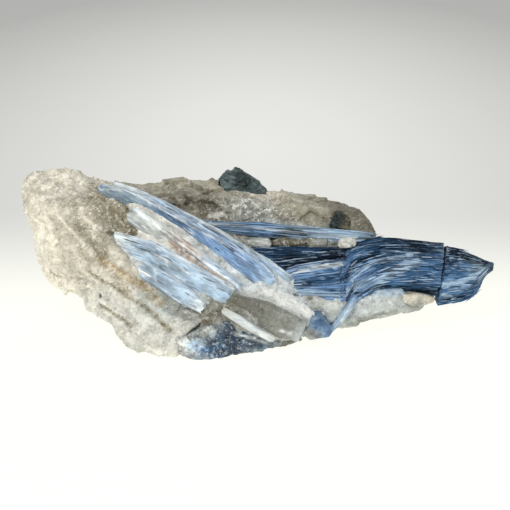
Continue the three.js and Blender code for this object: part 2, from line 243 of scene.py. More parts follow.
def dressed(piece, node, zones, spread, marks=(), wander=(5.0, 2.5), grow=0.0):
    """Stores a base colour that blends between zones, and the lines marked over it, some raised or sunk.

    A zone is a colour and a place. A mark is a colour, a width and a height in mm, and the places it runs
    through. Places are shares of the CAD node's box."""
    mesh = piece.data
    low, high = (np.array(corner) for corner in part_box(node))
    plain = points_of(mesh)
    points = wandered(plain, wander[0] * MM, wander[1] * MM, 1.0)
    places = np.array([low + (high - low) * np.array(place) for _, place in zones])
    tones = np.array([tone for tone, _ in zones])
    apart = ((points[:, None] - places[None]) ** 2).sum(2)
    weights = 1 / (apart + (spread * MM) ** 2) ** 2
    blended = (weights[:, :, None] * tones[None]).sum(1) / weights.sum(1)[:, None]
    relief = np.full(len(points), grow * MM)
    points = wandered(plain, 1.6 * MM, 0.35 * MM, 2.0)
    for seed, (tone, width, height, path) in enumerate(marks):
        away = distance_from_path(points, [low + (high - low) * np.array(place) for place in path])
        cover = np.clip(1.5 * (1 - away / (width * MM)), 0, 1)
        relief += cover * height * MM
        marked = cover > 0
        shift = Vector((seed, 0, 0))
        patchy = np.array([noise.noise(Vector(p) / MARK_PATCH + shift) for p in points[marked]])
        cover[marked] *= np.clip(0.85 + patchy, 0, 1)
        blended += cover[:, None] * (np.array(getattr(colours(), tone)) - blended)
    store(mesh, "tint", "FLOAT_COLOR", np.hstack([blended, np.ones((len(blended), 1))]))
    store(mesh, "relief", "FLOAT", relief)


def distance_from_path(points, path):
    """How far points are from a line through places, with depth counted less than height and width."""
    shrink = np.array([1.0, DEPTH_SHARE, 1.0])
    points = points * shrink
    nearest = np.full(len(points), np.inf)
    stops = [place * shrink for place in path]
    for start, stop in zip(stops, stops[1:] or stops):
        run = stop - start
        share = np.clip((points - start) @ run / max(run @ run, 1e-12), 0, 1)
        nearest = np.minimum(nearest, np.linalg.norm(points - start - share[:, None] * run, axis=1))
    return nearest


def finished(piece, slot, *nodes):
    """Attaches a finished piece to the cluster's body, and hides the CAD nodes it stands for."""
    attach(piece, BODY)
    if nodes:
        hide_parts(*nodes)
    return piece


# ---- Geometry trees ----
def tilted_cells(tree, place, per_metre):
    """A height that breaks a surface into flat cells, each tilted and raised its own way."""
    scaled = add(tree, "ShaderNodeVectorMath", {0: place, 3: per_metre}, operation="SCALE")
    cells = add(tree, "ShaderNodeTexVoronoi", {"Vector": scaled, "Scale": 1.0, "Smoothness": 0.05},
                feature="SMOOTH_F1")
    centre, chance = cells.outputs["Position"], cells.outputs["Color"]
    inside = add(tree, "ShaderNodeVectorMath", {0: scaled, 1: centre}, operation="SUBTRACT")
    lean = add(tree, "ShaderNodeVectorMath", {0: chance, 1: (0.5, 0.5, 0.5)}, operation="SUBTRACT")
    tilt = add(tree, "ShaderNodeVectorMath", {0: inside, 1: lean}, operation="DOT_PRODUCT")
    split = add(tree, "ShaderNodeSeparateXYZ", {0: chance})
    raised = add(tree, "ShaderNodeMath", {0: split, 1: 0.5}, operation="SUBTRACT")
    return add(tree, "ShaderNodeMath", {0: tilt.outputs["Value"], 1: raised}, operation="ADD")


def rolling(tree, place, detail=2.0):
    """A height that rolls smoothly between -1 and 1."""
    cloud = add(tree, "ShaderNodeTexNoise", {"Vector": place, "Scale": 1.0, "Detail": detail})
    return add(tree, "ShaderNodeMath", {0: cloud, 1: 2.0, 2: -1.0}, operation="MULTIPLY_ADD")


def moved_above_ground(tree, ins, *offsets):
    """Moves a mesh's points by offsets, but none lower than what the cluster stands on."""
    place = add(tree, "GeometryNodeInputPosition")
    for offset in offsets:
        place = add(tree, "ShaderNodeVectorMath", {0: place, 1: offset}, operation="ADD")
    split = add(tree, "ShaderNodeSeparateXYZ", {0: place}).outputs
    height = add(tree, "ShaderNodeMath", {0: split[2], 1: 0.0}, operation="MAXIMUM")
    kept = add(tree, "ShaderNodeCombineXYZ", {0: split[0], 1: split[1], 2: height})
    return add(tree, "GeometryNodeSetPosition", {"Geometry": ins["Geometry"], "Position": kept})


GROWTH_SLOPE = math.radians(38)
DRAWN_OUT = (0.45, 1.0, 1.0)


def broken_stone_tree():
    """Breaks a smooth lump into swells, tilted fracture faces drawn out down the growth, and small grains."""
    names = [f"{word} {what}" for word in ("Swell", "Face", "Grain") for what in ("per metre", "height")]
    tree, ins = new_geometry_tree("broken stone", names)
    place = add(tree, "GeometryNodeInputPosition")
    relief = add(tree, "GeometryNodeInputNamedAttribute", {"Name": "relief"}, data_type="FLOAT")
    rough = add(tree, "GeometryNodeInputNamedAttribute", {"Name": "rough"}, data_type="FLOAT")
    swell_place = add(tree, "ShaderNodeVectorMath", {0: place, 3: ins["Swell per metre"]}, operation="SCALE")
    turned = add(tree, "ShaderNodeVectorRotate", {0: place, 3: -GROWTH_SLOPE}, rotation_type="Y_AXIS")
    drawn_out = add(tree, "ShaderNodeVectorMath", {0: turned, 1: DRAWN_OUT}, operation="MULTIPLY")
    face = tilted_cells(tree, drawn_out, ins["Face per metre"])
    grain = tilted_cells(tree, place, ins["Grain per metre"])
    fine = add(tree, "ShaderNodeMath", {0: ins["Grain height"], 1: rough}, operation="MULTIPLY")
    height = relief
    for shape, size in ((rolling(tree, swell_place, 3.0), ins["Swell height"]), (face, ins["Face height"]),
                        (grain, fine)):
        height = add(tree, "ShaderNodeMath", {0: shape, 1: size, 2: height}, operation="MULTIPLY_ADD")
    normal = add(tree, "GeometryNodeInputNormal")
    outward = add(tree, "ShaderNodeVectorMath", {0: normal, 3: height}, operation="SCALE")
    return close_geometry_tree(tree, ins, moved_above_ground(tree, ins, outward))


def grained_tree():
    """Gives a blade or bundle its fibres, cleavage steps and splintered ends, all along its grain."""
    names = ["Strand width", "Strand length", "Strand height", "Lamina width", "Lamina length", "Lamina step",
             "Splinter length"]
    tree, ins = new_geometry_tree("grained crystal", names)
    grain = add(tree, "GeometryNodeInputNamedAttribute", {"Name": "grain"}, data_type="FLOAT_VECTOR")
    relief = add(tree, "GeometryNodeInputNamedAttribute", {"Name": "relief"}, data_type="FLOAT")
    strand = add(tree, "GeometryNodeInputNamedAttribute", {"Name": "strand"}, data_type="FLOAT_VECTOR")
    end = add(tree, "GeometryNodeInputNamedAttribute", {"Name": "end"}, data_type="FLOAT")
    endless = 1000.0  # metres, so that nothing varies along the grain

    def stretched(length, width):
        scale = add(tree, "ShaderNodeCombineXYZ", {0: length, 1: width, 2: width})
        return add(tree, "ShaderNodeVectorMath", {0: grain, 1: scale}, operation="DIVIDE")

    strands = rolling(tree, stretched(ins["Strand length"], ins["Strand width"]), 3.0)
    laminae = tilted_cells(tree, stretched(ins["Lamina length"], ins["Lamina width"]), 1.0)
    height = relief
    for shape, size in ((strands, ins["Strand height"]), (laminae, ins["Lamina step"])):
        height = add(tree, "ShaderNodeMath", {0: shape, 1: size, 2: height}, operation="MULTIPLY_ADD")
    normal = add(tree, "GeometryNodeInputNormal")
    outward = add(tree, "ShaderNodeVectorMath", {0: normal, 3: height}, operation="SCALE")

    section = add(tree, "ShaderNodeVectorMath", {0: stretched(endless, ins["Lamina width"]), 3: 1.7},
                  operation="SCALE")
    cells = add(tree, "ShaderNodeTexVoronoi", {"Vector": section, "Scale": 1.0}, feature="F1")
    share = add(tree, "ShaderNodeSeparateXYZ", {0: cells.outputs["Color"]}).outputs[1]
    cut_back = add(tree, "ShaderNodeMath", {0: share, 1: 0.8}, operation="SUBTRACT")
    fine = rolling(tree, stretched(endless, ins["Strand width"]))
    uneven = add(tree, "ShaderNodeMath", {0: fine, 1: 0.2, 2: cut_back}, operation="MULTIPLY_ADD")
    reach = add(tree, "ShaderNodeMath", {0: uneven, 1: ins["Splinter length"]}, operation="MULTIPLY")
    at_ends = add(tree, "ShaderNodeMath", {0: reach, 1: end}, operation="MULTIPLY")
    lengthwise = add(tree, "ShaderNodeVectorMath", {0: strand, 3: at_ends}, operation="SCALE")
    return close_geometry_tree(tree, ins, moved_above_ground(tree, ins, outward, lengthwise))


def sliver_tree():
    """Lays slivers of the crystal along its grain, each with its own tone, and none near its ends."""
    dimensions = ["Length", "Width", "Thickness"]
    tree, ins = new_geometry_tree("slivers along the grain", ["Per square metre", *dimensions])
    end = add(tree, "GeometryNodeInputNamedAttribute", {"Name": "end"}, data_type="FLOAT")
    near_end = add(tree, "ShaderNodeMath", {0: end}, operation="ABSOLUTE")
    inland = add(tree, "ShaderNodeMapRange", {0: near_end, 1: 0.0, 2: 0.6, 3: 1.0, 4: 0.0})
    density = add(tree, "ShaderNodeMath", {0: ins["Per square metre"], 1: inland}, operation="MULTIPLY")
    spread = add(tree, "GeometryNodeDistributePointsOnFaces",
                 {"Mesh": ins["Geometry"], "Density": density, "Seed": 3})
    strand = add(tree, "GeometryNodeInputNamedAttribute", {"Name": "strand"}, data_type="FLOAT_VECTOR")
    turn = add(tree, "FunctionNodeAxesToRotation", {0: strand, 1: spread.outputs["Normal"]},
               primary_axis="X", secondary_axis="Z")
    varied = []
    for seed, size in enumerate(dimensions, 11):
        share = add(tree, "FunctionNodeRandomValue", {2: 0.45, 3: 1.6, "Seed": seed}, data_type="FLOAT")
        varied.append(add(tree, "ShaderNodeMath", {0: ins[size], 1: share.outputs[1]}, operation="MULTIPLY"))
    scale = add(tree, "ShaderNodeCombineXYZ", dict(enumerate(varied)))
    return scatter(tree, ins, spread, turn, scale, 21)


def chip_tree():
    """Scatters broken grains over stone, turned any way, thickest where it is rough, none on the ground."""
    tree, ins = new_geometry_tree("chips on stone", ["Per square metre", "Size"])
    rough = add(tree, "GeometryNodeInputNamedAttribute", {"Name": "rough"}, data_type="FLOAT")
    height = add(tree, "ShaderNodeSeparateXYZ", {0: add(tree, "GeometryNodeInputPosition")}).outputs[2]
    clear = add(tree, "ShaderNodeMath", {0: height, 1: ins["Size"]}, operation="GREATER_THAN")
    density = add(tree, "ShaderNodeMath", {0: ins["Per square metre"], 1: rough}, operation="MULTIPLY")
    density = add(tree, "ShaderNodeMath", {0: density, 1: clear}, operation="MULTIPLY")
    spread = add(tree, "GeometryNodeDistributePointsOnFaces",
                 {"Mesh": ins["Geometry"], "Density": density, "Seed": 5})
    turn = add(tree, "FunctionNodeRandomValue", {0: (0, 0, 0), 1: (6.28, 6.28, 6.28), "Seed": 31},
               data_type="FLOAT_VECTOR")
    stretch = add(tree, "FunctionNodeRandomValue", {0: (0.4, 0.4, 0.4), 1: (1.5, 1.2, 1.0), "Seed": 32},
                  data_type="FLOAT_VECTOR")
    scale = add(tree, "ShaderNodeVectorMath", {0: stretch, 3: ins["Size"]}, operation="SCALE")
    return scatter(tree, ins, spread, turn, scale, 41)


def scatter(tree, ins, spread, turn, scale, seed):
    """Ends a tree with the template on every point, each copy with a tone of its own."""
    template = add(tree, "GeometryNodeObjectInfo", {0: ins["Template"]}, transform_space="ORIGINAL")
    laid = add(tree, "GeometryNodeInstanceOnPoints",
               {"Points": spread, "Instance": template.outputs["Geometry"], "Rotation": turn, "Scale": scale})
    tone = add(tree, "FunctionNodeRandomValue", {2: 0.0, 3: 1.0, "Seed": seed}, data_type="FLOAT").outputs[1]
    toned = add(tree, "GeometryNodeStoreNamedAttribute", {"Geometry": laid, "Name": "tone", "Value": tone},
                data_type="FLOAT", domain="INSTANCE")
    return close_geometry_tree(tree, ins, toned)


# ---- Crystals wrapped around their CAD solids ----
def hull(points):
    """The corners of the convex hull of flat points, counterclockwise."""
    order = points[np.lexsort((points[:, 1], points[:, 0]))]

    def half(sequence):
        chain = []
        for p in sequence:
            while len(chain) > 1:
                (ax, ay), (bx, by) = chain[-1] - chain[-2], p - chain[-1]
                if ax * by - ay * bx > 0:
                    break
                chain.pop()
            chain.append(p)
        return chain[:-1]

    return np.array(half(order) + half(order[::-1]))


def ring(points, count):
    """Evenly spaced points round the hull of a cut, the first at its back, and the cut's middle."""
    corners = hull(points)
    following = np.roll(corners, -1, axis=0)
    crossed = corners[:, 0] * following[:, 1] - corners[:, 1] * following[:, 0]
    middle = ((corners + following) * crossed[:, None]).sum(0) / (3 * crossed.sum())
    walked = np.concatenate([[0], np.cumsum(np.linalg.norm(following - corners, axis=1))])
    closed = np.vstack([corners, corners[:1]])

    def at(distances):
        return np.stack([np.interp(distances, walked, closed[:, k]) for k in (0, 1)], 1)

    fine = np.linspace(0, walked[-1], count * 8, endpoint=False)
    away = at(fine) - middle
    turned = np.mod(np.arctan2(away[:, 1], away[:, 0]) + math.pi / 2, 2 * math.pi)
    start = fine[np.argmin(turned)]
    return at(np.mod(start + np.arange(count) * walked[-1] / count, walked[-1])), middle


def cut_through(corners, triangles, depths, level):
    """Where a plane at a level crosses the triangles' edges."""
    found = []
    for a, b in ((0, 1), (1, 2), (2, 0)):
        from_corner, to_corner = triangles[:, a], triangles[:, b]
        before, after = depths[from_corner] - level, depths[to_corner] - level
        crossing = before * after < 0
        share = (before[crossing] / (before[crossing] - after[crossing]))[:, None]
        found.append(corners[from_corner[crossing]] * (1 - share) + corners[to_corner[crossing]] * share)
    return np.vstack(found)


def blurred(rows, passes, axis, around):
    """Rows of points softened with their neighbours, in a loop where they run around."""
    for _ in range(passes):
        before, after = np.roll(rows, 1, axis), np.roll(rows, -1, axis)
        if not around:
            before[0], after[-1] = rows[0], rows[-1]
        rows = rows / 2 + (before + after) / 4
    return rows


ROW_STEP = 0.4 * MM
END_MARGIN = 0.08 * MM
END_FADE = 4.0 * MM
END_BEND = math.exp(-1 / (5 * MM))
CAP_SHARES = (0.85, 0.6, 0.3)
CAP_BULGE = 0.4 * MM
SEAM_COVER = 0.18 * MM


def wrapped(name, node, step, along=None, gather=False, flow=None, stretch=(1.0, 1.0), slant=(0.0, 0.0)):
    """A crystal's surface as rows of points along its CAD solid, which remember where they are in its grain.

    grain is the distance along, across and outwards, in metres. With gather it follows the outline, as fibres
    do that run together. flow says how far the fibres have sunk at a distance along and a share of the height.
    slant leans the two ends."""
    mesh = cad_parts[node].data
    corners = points_of(mesh)
    triangles = np.array([p.vertices[:] for p in mesh.polygons])
    if along is None:
        along = np.linalg.svd(corners - corners.mean(0), full_matrices=False)[2][0]
    along = np.array(along, float) * (1 if along[0] > 0 else -1)
    out = FRONT - along * np.dot(along, FRONT)
    out /= np.linalg.norm(out)
    across = np.cross(out, along)
    depths = corners @ along
    low, high = depths.min() + END_MARGIN, depths.max() - END_MARGIN
    levels = np.linspace(low, high, max(int((high - low) / ROW_STEP), 8))
    cuts = [cut_through(corners, triangles, depths, level) for level in levels]
    flat = [np.stack([cut @ across, cut @ out], 1) for cut in cuts]
    widest = max(np.ptp(cut, axis=0).sum() * 2 for cut in flat)
    count = max(int(widest / step), 24)
    rings, middles = (np.array(part) for part in zip(*(ring(cut, count) for cut in flat)))
    rings = blurred(blurred(rings, 2, 0, False), 1, 1, True)
    middles = blurred(middles, 2, 0, False)
    offsets = rings - middles[:, None]
    offsets *= np.array(stretch) + SEAM_COVER / np.linalg.norm(offsets, axis=2, keepdims=True)
    rings = middles[:, None] + offsets
    spans = np.abs(offsets).max(1)
    inner = offsets / spans[:, None] * spans.mean(0) if gather else offsets
    shares = offsets[:, :, 0] / spans[:, None, 0]
    sunk = flow((levels - levels[0])[:, None], shares) if flow else np.zeros(shares.shape)
    sinking = np.gradient(sunk, levels, axis=0)

    rows = []
    lean = np.gradient(rings if gather else np.broadcast_to(middles[:, None], rings.shape), levels, axis=0)
    for i, level in enumerate(levels):
        rise = (shares[i][:, None] + 1) * 0.5 * MM
        from_start, to_end = level - levels[0], levels[-1] - level
        lean_in = (slant[0] * END_BEND ** from_start + slant[1] * END_BEND ** to_end) * rise
        place = along * (level + lean_in) + rings[i][:, :1] * across + rings[i][:, 1:] * out
        grain = np.column_stack([np.full(count, level), inner[i][:, 0] - sunk[i], inner[i][:, 1]])
        strand = along + (lean[i][:, :1] + sinking[i][:, None]) * across + lean[i][:, 1:] * out
        strand /= np.linalg.norm(strand, axis=1)[:, None]
        near_end = max(0, 1 - to_end / END_FADE) - max(0, 1 - from_start / END_FADE)
        rows.append((place, grain, strand, np.full(count, near_end), shares[i]))

    def cap(row, middle, level, way):
        centre = along * level + middle[0] * across + middle[1] * out
        place, grain, *others = row
        capped = []
        for share in CAP_SHARES + (0.0,):
            bulge = along * way * CAP_BULGE * (1 - share)
            kept = grain * (1, share, share) + (way * CAP_BULGE * (1 - share), 0, 0)
            capped.append((centre + (place - centre) * share + bulge, kept, *others))
        return capped

    first = cap(rows[0], middles[0], levels[0], -1)
    last = cap(rows[-1], middles[-1], levels[-1], 1)
    rows = first[::-1] + rows + last
    poles = [tuple(part[0] for part in rows[0]), tuple(part[0] for part in rows[-1])]
    rows = rows[1:-1]
    parts = [np.concatenate([np.atleast_2d(p).reshape(-1, p.shape[-1] if p.ndim > 1 else 1) for p in column])
             for column in zip(*rows)]
    ends = [np.array([np.atleast_1d(pole[k]) for pole in poles]) for k in range(5)]
    places, grains, strands, near_ends, edges = (np.vstack([part, end]) for part, end in zip(parts, ends))

    faces = []
    for i in range(len(rows) - 1):
        for j in range(count):
            k = (j + 1) % count
            faces.append((i * count + j, i * count + k, (i + 1) * count + k, (i + 1) * count + j))
    total, start_pole, end_pole = len(rows) * count, len(rows) * count, len(rows) * count + 1
    for j in range(count):
        k = (j + 1) % count
        faces.append((start_pole, k, j))
        faces.append((end_pole, total - count + j, total - count + k))
    if turns_inside_out(places, faces):
        faces = [face[::-1] for face in faces]
    piece = new_piece(name, places.tolist(), faces)
    store(piece.data, "grain", "FLOAT_VECTOR", grains)
    store(piece.data, "strand", "FLOAT_VECTOR", strands)
    store(piece.data, "end", "FLOAT", near_ends)
    store(piece.data, "edge", "FLOAT", edges)
    return piece


def turns_inside_out(places, faces):
    """Whether a closed mesh's faces point inwards, from its signed volume."""
    corners = np.array([face[:3] for face in faces])
    a, b, c = (places[corners[:, k]] for k in range(3))
    volume = (a * np.cross(b, c)).sum()
    quads = np.array([face for face in faces if len(face) == 4])
    a, b, c = places[quads[:, 0]], places[quads[:, 2]], places[quads[:, 3]]
    return volume + (a * np.cross(b, c)).sum() < 0


# ---- Materials ----
def rgba(hex_colour):
    return (*linear(hex_colour), 1.0)


DARK_LINE = (0.05, 0.12, 0.22, 1)


def kyanite(name, light, light_share, dark_share, streak_mm=(7.0, 0.42), gloss=0.35, sheen=0.35, rim=0.0,
            patchy=0.0, clear=0.0):
    """Kyanite, grown in blades and split along them: pearly cleavage steps, light and dark lines lengthwise."""
    material, tree = new_material(name)
    tint = add(tree, "ShaderNodeAttribute", attribute_name="tint")
    grain = add(tree, "ShaderNodeAttribute", attribute_name="grain").outputs["Vector"]
    across = add(tree, "ShaderNodeAttribute", attribute_name="edge").outputs["Fac"]

    def lengthwise(length_mm, width_mm, shift):
        scale = (1 / (length_mm * MM), 1 / (width_mm * MM), 1 / (width_mm * MM))
        return add(tree, "ShaderNodeMapping", {0: grain, 1: (shift, shift, shift), 3: scale})

    def streaks(length_mm, width_mm, shift, detail=3.0):
        place = lengthwise(length_mm, width_mm, shift)
        return add(tree, "ShaderNodeTexNoise",
                   {"Vector": place, "Scale": 1.0, "Detail": detail, "Roughness": 0.6})

    length, width = streak_mm
    broad, lines = streaks(length * 1.6, width * 4, 7), streaks(length, width, 0)
    thin, fleck = streaks(length * 0.6, width * 0.55, 3, 2.0), streaks(1.4, 0.5, 11)
    patches = streaks(3.2, 1.3, 17, 4.0)
    steps = add(tree, "ShaderNodeTexVoronoi",
                {"Vector": lengthwise(length * 1.3, width * 3, 5), "Scale": 1.0})
    share = add(tree, "ShaderNodeSeparateColor", {0: steps.outputs["Color"]})
    wide_shade = add(tree, "ShaderNodeMapRange", {0: broad, 1: 0.3, 2: 0.7, 3: 0.55, 4: 1.4})
    step_shade = add(tree, "ShaderNodeMapRange", {0: share, 3: 0.78, 4: 1.2})
    patch_shade = add(tree, "ShaderNodeMapRange",
                      {0: patches, 1: 0.35, 2: 0.65, 3: 1 - patchy * 0.5, 4: 1 + patchy * 0.4})
    shade = add(tree, "ShaderNodeMath", {0: wide_shade, 1: step_shade}, operation="MULTIPLY")
    shade = add(tree, "ShaderNodeMath", {0: shade, 1: patch_shade}, operation="MULTIPLY")
    base = add(tree, "ShaderNodeVectorMath", {0: tint, 3: shade}, operation="SCALE")
    dark_lines = add(tree, "ShaderNodeMapRange", {0: lines, 1: 0.5, 2: 0.34, 4: dark_share})
    base = add(tree, "ShaderNodeMix", {0: dark_lines, 6: base, 7: DARK_LINE},
               data_type="RGBA", blend_type="MULTIPLY").outputs[2]
    light_lines = add(tree, "ShaderNodeMapRange", {0: thin, 1: 0.54, 2: 0.7, 4: light_share})
    flecks = add(tree, "ShaderNodeMapRange", {0: fleck, 1: 0.6, 2: 0.72, 4: light_share * 0.6})
    broken = add(tree, "ShaderNodeMapRange", {0: patches, 1: 0.58, 2: 0.68, 4: patchy})
    # Pale rims along both long edges, patchy: partly the blades' own pale edges and partly painted highlight
    # where an edge catches the light.
    edge = add(tree, "ShaderNodeMath", {0: across}, operation="ABSOLUTE")
    pale_lit_rim = add(tree, "ShaderNodeMapRange", {0: edge, 1: 0.78, 2: 0.98, 4: rim})
    uneven = add(tree, "ShaderNodeMapRange", {0: broad, 1: 0.4, 2: 0.6, 3: 0.3, 4: 1.0})
    pale_lit_rim = add(tree, "ShaderNodeMath", {0: pale_lit_rim, 1: uneven}, operation="MULTIPLY")
    for share in (light_lines, flecks, broken, pale_lit_rim):
        base = add(tree, "ShaderNodeMix", {0: share, 6: base, 7: rgba(light)}, data_type="RGBA").outputs[2]
    relief = add(tree, "ShaderNodeBump", {"Strength": 0.5, "Distance": 0.12 * MM, "Height": thin})
    rough = add(tree, "ShaderNodeMapRange", {0: lines, 1: 0.3, 2: 0.7, 3: gloss + 0.15, 4: gloss - 0.08})
    surface = add(tree, "ShaderNodeBsdfPrincipled",
                  {"Base Color": base, "Roughness": rough, "IOR": 1.72, "Specular IOR Level": sheen,
                   "Transmission Weight": clear, "Normal": relief})
    add(tree, "ShaderNodeOutputMaterial", {0: surface})
    return material


def kyanite_sliver(name, light, light_share, gloss=0.3, sheen=0.3):
    """Kyanite split into slivers: each one catches the light on its own, from dark to pale."""
    material, tree = new_material(name)
    tint = add(tree, "ShaderNodeAttribute", attribute_name="tint")
    tone = add(tree, "ShaderNodeAttribute", attribute_name="tone").outputs["Fac"]
    shade = add(tree, "ShaderNodeMapRange", {0: tone, 1: 0.0, 2: 0.82, 3: 0.15, 4: 1.5})
    base = add(tree, "ShaderNodeVectorMath", {0: tint, 3: shade}, operation="SCALE")
    palest = add(tree, "ShaderNodeMapRange", {0: tone, 1: 0.82, 2: 0.95, 4: light_share})
    base = add(tree, "ShaderNodeMix", {0: palest, 6: base, 7: rgba(light)}, data_type="RGBA").outputs[2]
    surface = add(tree, "ShaderNodeBsdfPrincipled",
                  {"Base Color": base, "Roughness": gloss, "IOR": 1.72, "Specular IOR Level": sheen})
    add(tree, "ShaderNodeOutputMaterial", {0: surface})
    return material


DUSTY_PIT = (0.5, 0.45, 0.36, 1)


def quartz(name, grain_mm=0.8, contrast=0.3, glow=0.25, glint="#fffdf2", glint_share=0.5, pit_share=0.6,
           clear=0.0):
    """Vein quartz, broken across: cloudy bands, granular, glassy faces with painted glints and white curls, and
    dusty cracks.
    """
    material, tree = new_material(name)
    place = add(tree, "ShaderNodeTexCoord").outputs["Object"]
    base = add(tree, "ShaderNodeAttribute", attribute_name="tint")
    granular = add(tree, "ShaderNodeAttribute", attribute_name="rough").outputs["Fac"]
    turned = add(tree, "ShaderNodeVectorRotate", {0: place, 3: -GROWTH_SLOPE}, rotation_type="Y_AXIS")
    drawn_out = add(tree, "ShaderNodeVectorMath", {0: turned, 1: (0.3, 1.0, 1.0)}, operation="MULTIPLY")

    def cloud(source, size_mm, detail, **more):
        spaced = add(tree, "ShaderNodeVectorMath", {0: source, 3: 1 / (size_mm * MM)}, operation="SCALE")
        return add(tree, "ShaderNodeTexNoise", {"Vector": spaced, "Scale": 1.0, "Detail": detail, **more})

    bands, clouds, dust = cloud(drawn_out, 2.4, 4.0), cloud(place, 2.6, 4.0), cloud(place, 0.45, 2.0)
    pits, blotch = cloud(place, grain_mm * 1.1, 3.0), cloud(place, grain_mm * 1.3, 3.0, Roughness=0.65)
    curl = cloud(place, grain_mm * 3.0, 1.5, Distortion=0.6)
    spaced = add(tree, "ShaderNodeVectorMath", {0: place, 3: 1 / (grain_mm * MM)}, operation="SCALE")
    cells = add(tree, "ShaderNodeTexVoronoi", {"Vector": spaced, "Scale": 1.0}, feature="F1")
    shares = add(tree, "ShaderNodeSeparateColor", {0: cells.outputs["Color"]}).outputs
    shades = ((bands, 0.3, 0.7, 0.9), (clouds, 0.3, 0.7, 0.9), (shares[0], 0.0, 1.0, 0.6))
    for value, low, high, swing in shades:
        shade = add(tree, "ShaderNodeMapRange",
                    {0: value, 1: low, 2: high, 3: 1 - contrast * swing, 4: 1 + contrast * swing * 0.8})
        base = add(tree, "ShaderNodeVectorMath", {0: base, 3: shade}, operation="SCALE")
    pitted = add(tree, "ShaderNodeMapRange", {0: pits, 1: 0.43, 2: 0.33, 4: pit_share})
    base = add(tree, "ShaderNodeMix", {0: pitted, 6: base, 7: DUSTY_PIT},
               data_type="RGBA", blend_type="MULTIPLY").outputs[2]
    # Painted glints and white curls: the thin curls are the quartz's white fracture lines, the blotches are
    # painted glints; both mix the glint colour into the base, most where the quartz is granular.
    off_line = add(tree, "ShaderNodeMath", {0: curl, 1: 0.5}, operation="SUBTRACT")
    off_line = add(tree, "ShaderNodeMath", {0: off_line}, operation="ABSOLUTE")
    curls = add(tree, "ShaderNodeMapRange", {0: off_line, 1: 0.035, 2: 0.008})
    lit = add(tree, "ShaderNodeMapRange", {0: clouds, 1: 0.45, 2: 0.6})
    curls = add(tree, "ShaderNodeMath", {0: curls, 1: lit}, operation="MULTIPLY")
    blotches = add(tree, "ShaderNodeMapRange", {0: blotch, 1: 0.56, 2: 0.66})
    glints_and_curls = add(tree, "ShaderNodeMath", {0: curls, 1: blotches}, operation="MAXIMUM")
    glints_and_curls = add(tree, "ShaderNodeMath", {0: glints_and_curls, 1: granular}, operation="MULTIPLY")
    glints_and_curls = add(tree, "ShaderNodeMath", {0: glints_and_curls, 1: glint_share}, operation="MULTIPLY")
    base = add(tree, "ShaderNodeMix", {0: glints_and_curls, 6: base, 7: rgba(glint)},
               data_type="RGBA", clamp_result=True)
    relief = add(tree, "ShaderNodeBump", {"Strength": 0.6, "Distance": 0.2 * MM, "Height": dust})
    rough = add(tree, "ShaderNodeMapRange", {0: shares[2], 3: 0.15, 4: 0.6})
    surface = add(tree, "ShaderNodeBsdfPrincipled",
                  {"Base Color": base.outputs[2], "Roughness": rough, "IOR": 1.544, "Subsurface Weight": glow,
                   "Subsurface Radius": (1.0, 0.95, 0.85), "Subsurface Scale": 1.2 * MM,
                   "Transmission Weight": clear, "Normal": relief})
    add(tree, "ShaderNodeOutputMaterial", {0: surface})
    return material


def mica(name):
    """Biotite mica in a knob of flakes: nearly black green, with a silky shine on the flat of each flake."""
    material, tree = new_material(name)
    place = add(tree, "ShaderNodeTexCoord").outputs["Object"]
    tint = add(tree, "ShaderNodeAttribute", attribute_name="tint")
    flakes = add(tree, "ShaderNodeVectorMath", {0: place, 1: (900.0, 900.0, 1600.0)}, operation="MULTIPLY")
    cells = add(tree, "ShaderNodeTexVoronoi", {"Vector": flakes, "Scale": 1.0}, feature="F1")
    shares = add(tree, "ShaderNodeSeparateColor", {0: cells.outputs["Color"]}).outputs
    shade = add(tree, "ShaderNodeMapRange", {0: shares[0], 3: 0.4, 4: 1.6})
    base = add(tree, "ShaderNodeVectorMath", {0: tint, 3: shade}, operation="SCALE")
    rough = add(tree, "ShaderNodeMapRange", {0: shares[1], 3: 0.25, 4: 0.55})
    surface = add(tree, "ShaderNodeBsdfPrincipled",
                  {"Base Color": base, "Roughness": rough, "IOR": 1.6, "Specular IOR Level": 0.2})
    add(tree, "ShaderNodeOutputMaterial", {0: surface})
    return material


# ---- Stone built from its CAD solid ----
def stone(name, node, step, relief, material, zones, spread, rough=None, soften=4, wander=(2.5, 0.8), grow=0.15,
          reach=0.8):
    """Broken stone: the CAD solid's lumps run together, then broken into faces and grains."""
    piece = filled(name, [node], step, reach, 0.0, soften)
    low, high = (np.array(corner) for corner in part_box(node))
    places = (points_of(piece.data) - low) / (high - low)
    store(piece.data, "rough", "FLOAT", rough(places) if rough else np.ones(len(places)))
    dressed(piece, node, zones, spread, MARKS.get(node, ()), wander, grow)
    return broken(piece, relief, material)


def broken(piece, relief, material):
    """Breaks a piece up. relief gives the size and height in mm of its swells, faces and grains."""
    values = {"Material": material}
    for word, (size, height) in relief.items():
        values[f"{word} per metre"] = 1 / (size * MM)
        values[f"{word} height"] = height * MM
    return settled(piece, broken_stone_tree(), values)


LARGEST_SHRINK_MM = 0.9


def filled(name, nodes, step, reach, sink, soften):
    """A copy of CAD solids with the gaps between them filled: swollen until they join, then shrunk back."""
    piece = merged_copy(name, *nodes)
    shrinks = max(math.ceil((reach + sink) / LARGEST_SHRINK_MM), 1)
    for turn, swelling in enumerate([reach] + [-(reach + sink) / shrinks] * shrinks):
        remesh = piece.modifiers.new(f"even {turn}", "REMESH")
        remesh.mode = "VOXEL"
        remesh.voxel_size = step
        swell = piece.modifiers.new(f"swell {turn}", "DISPLACE")
        swell.mid_level = 0
        swell.strength = swelling * MM
    even = piece.modifiers.new("even again", "REMESH")
    even.mode = "VOXEL"
    even.voxel_size = step
    smooth = piece.modifiers.new("soft", "SMOOTH")
    smooth.iterations = soften
    return made_plain(piece)


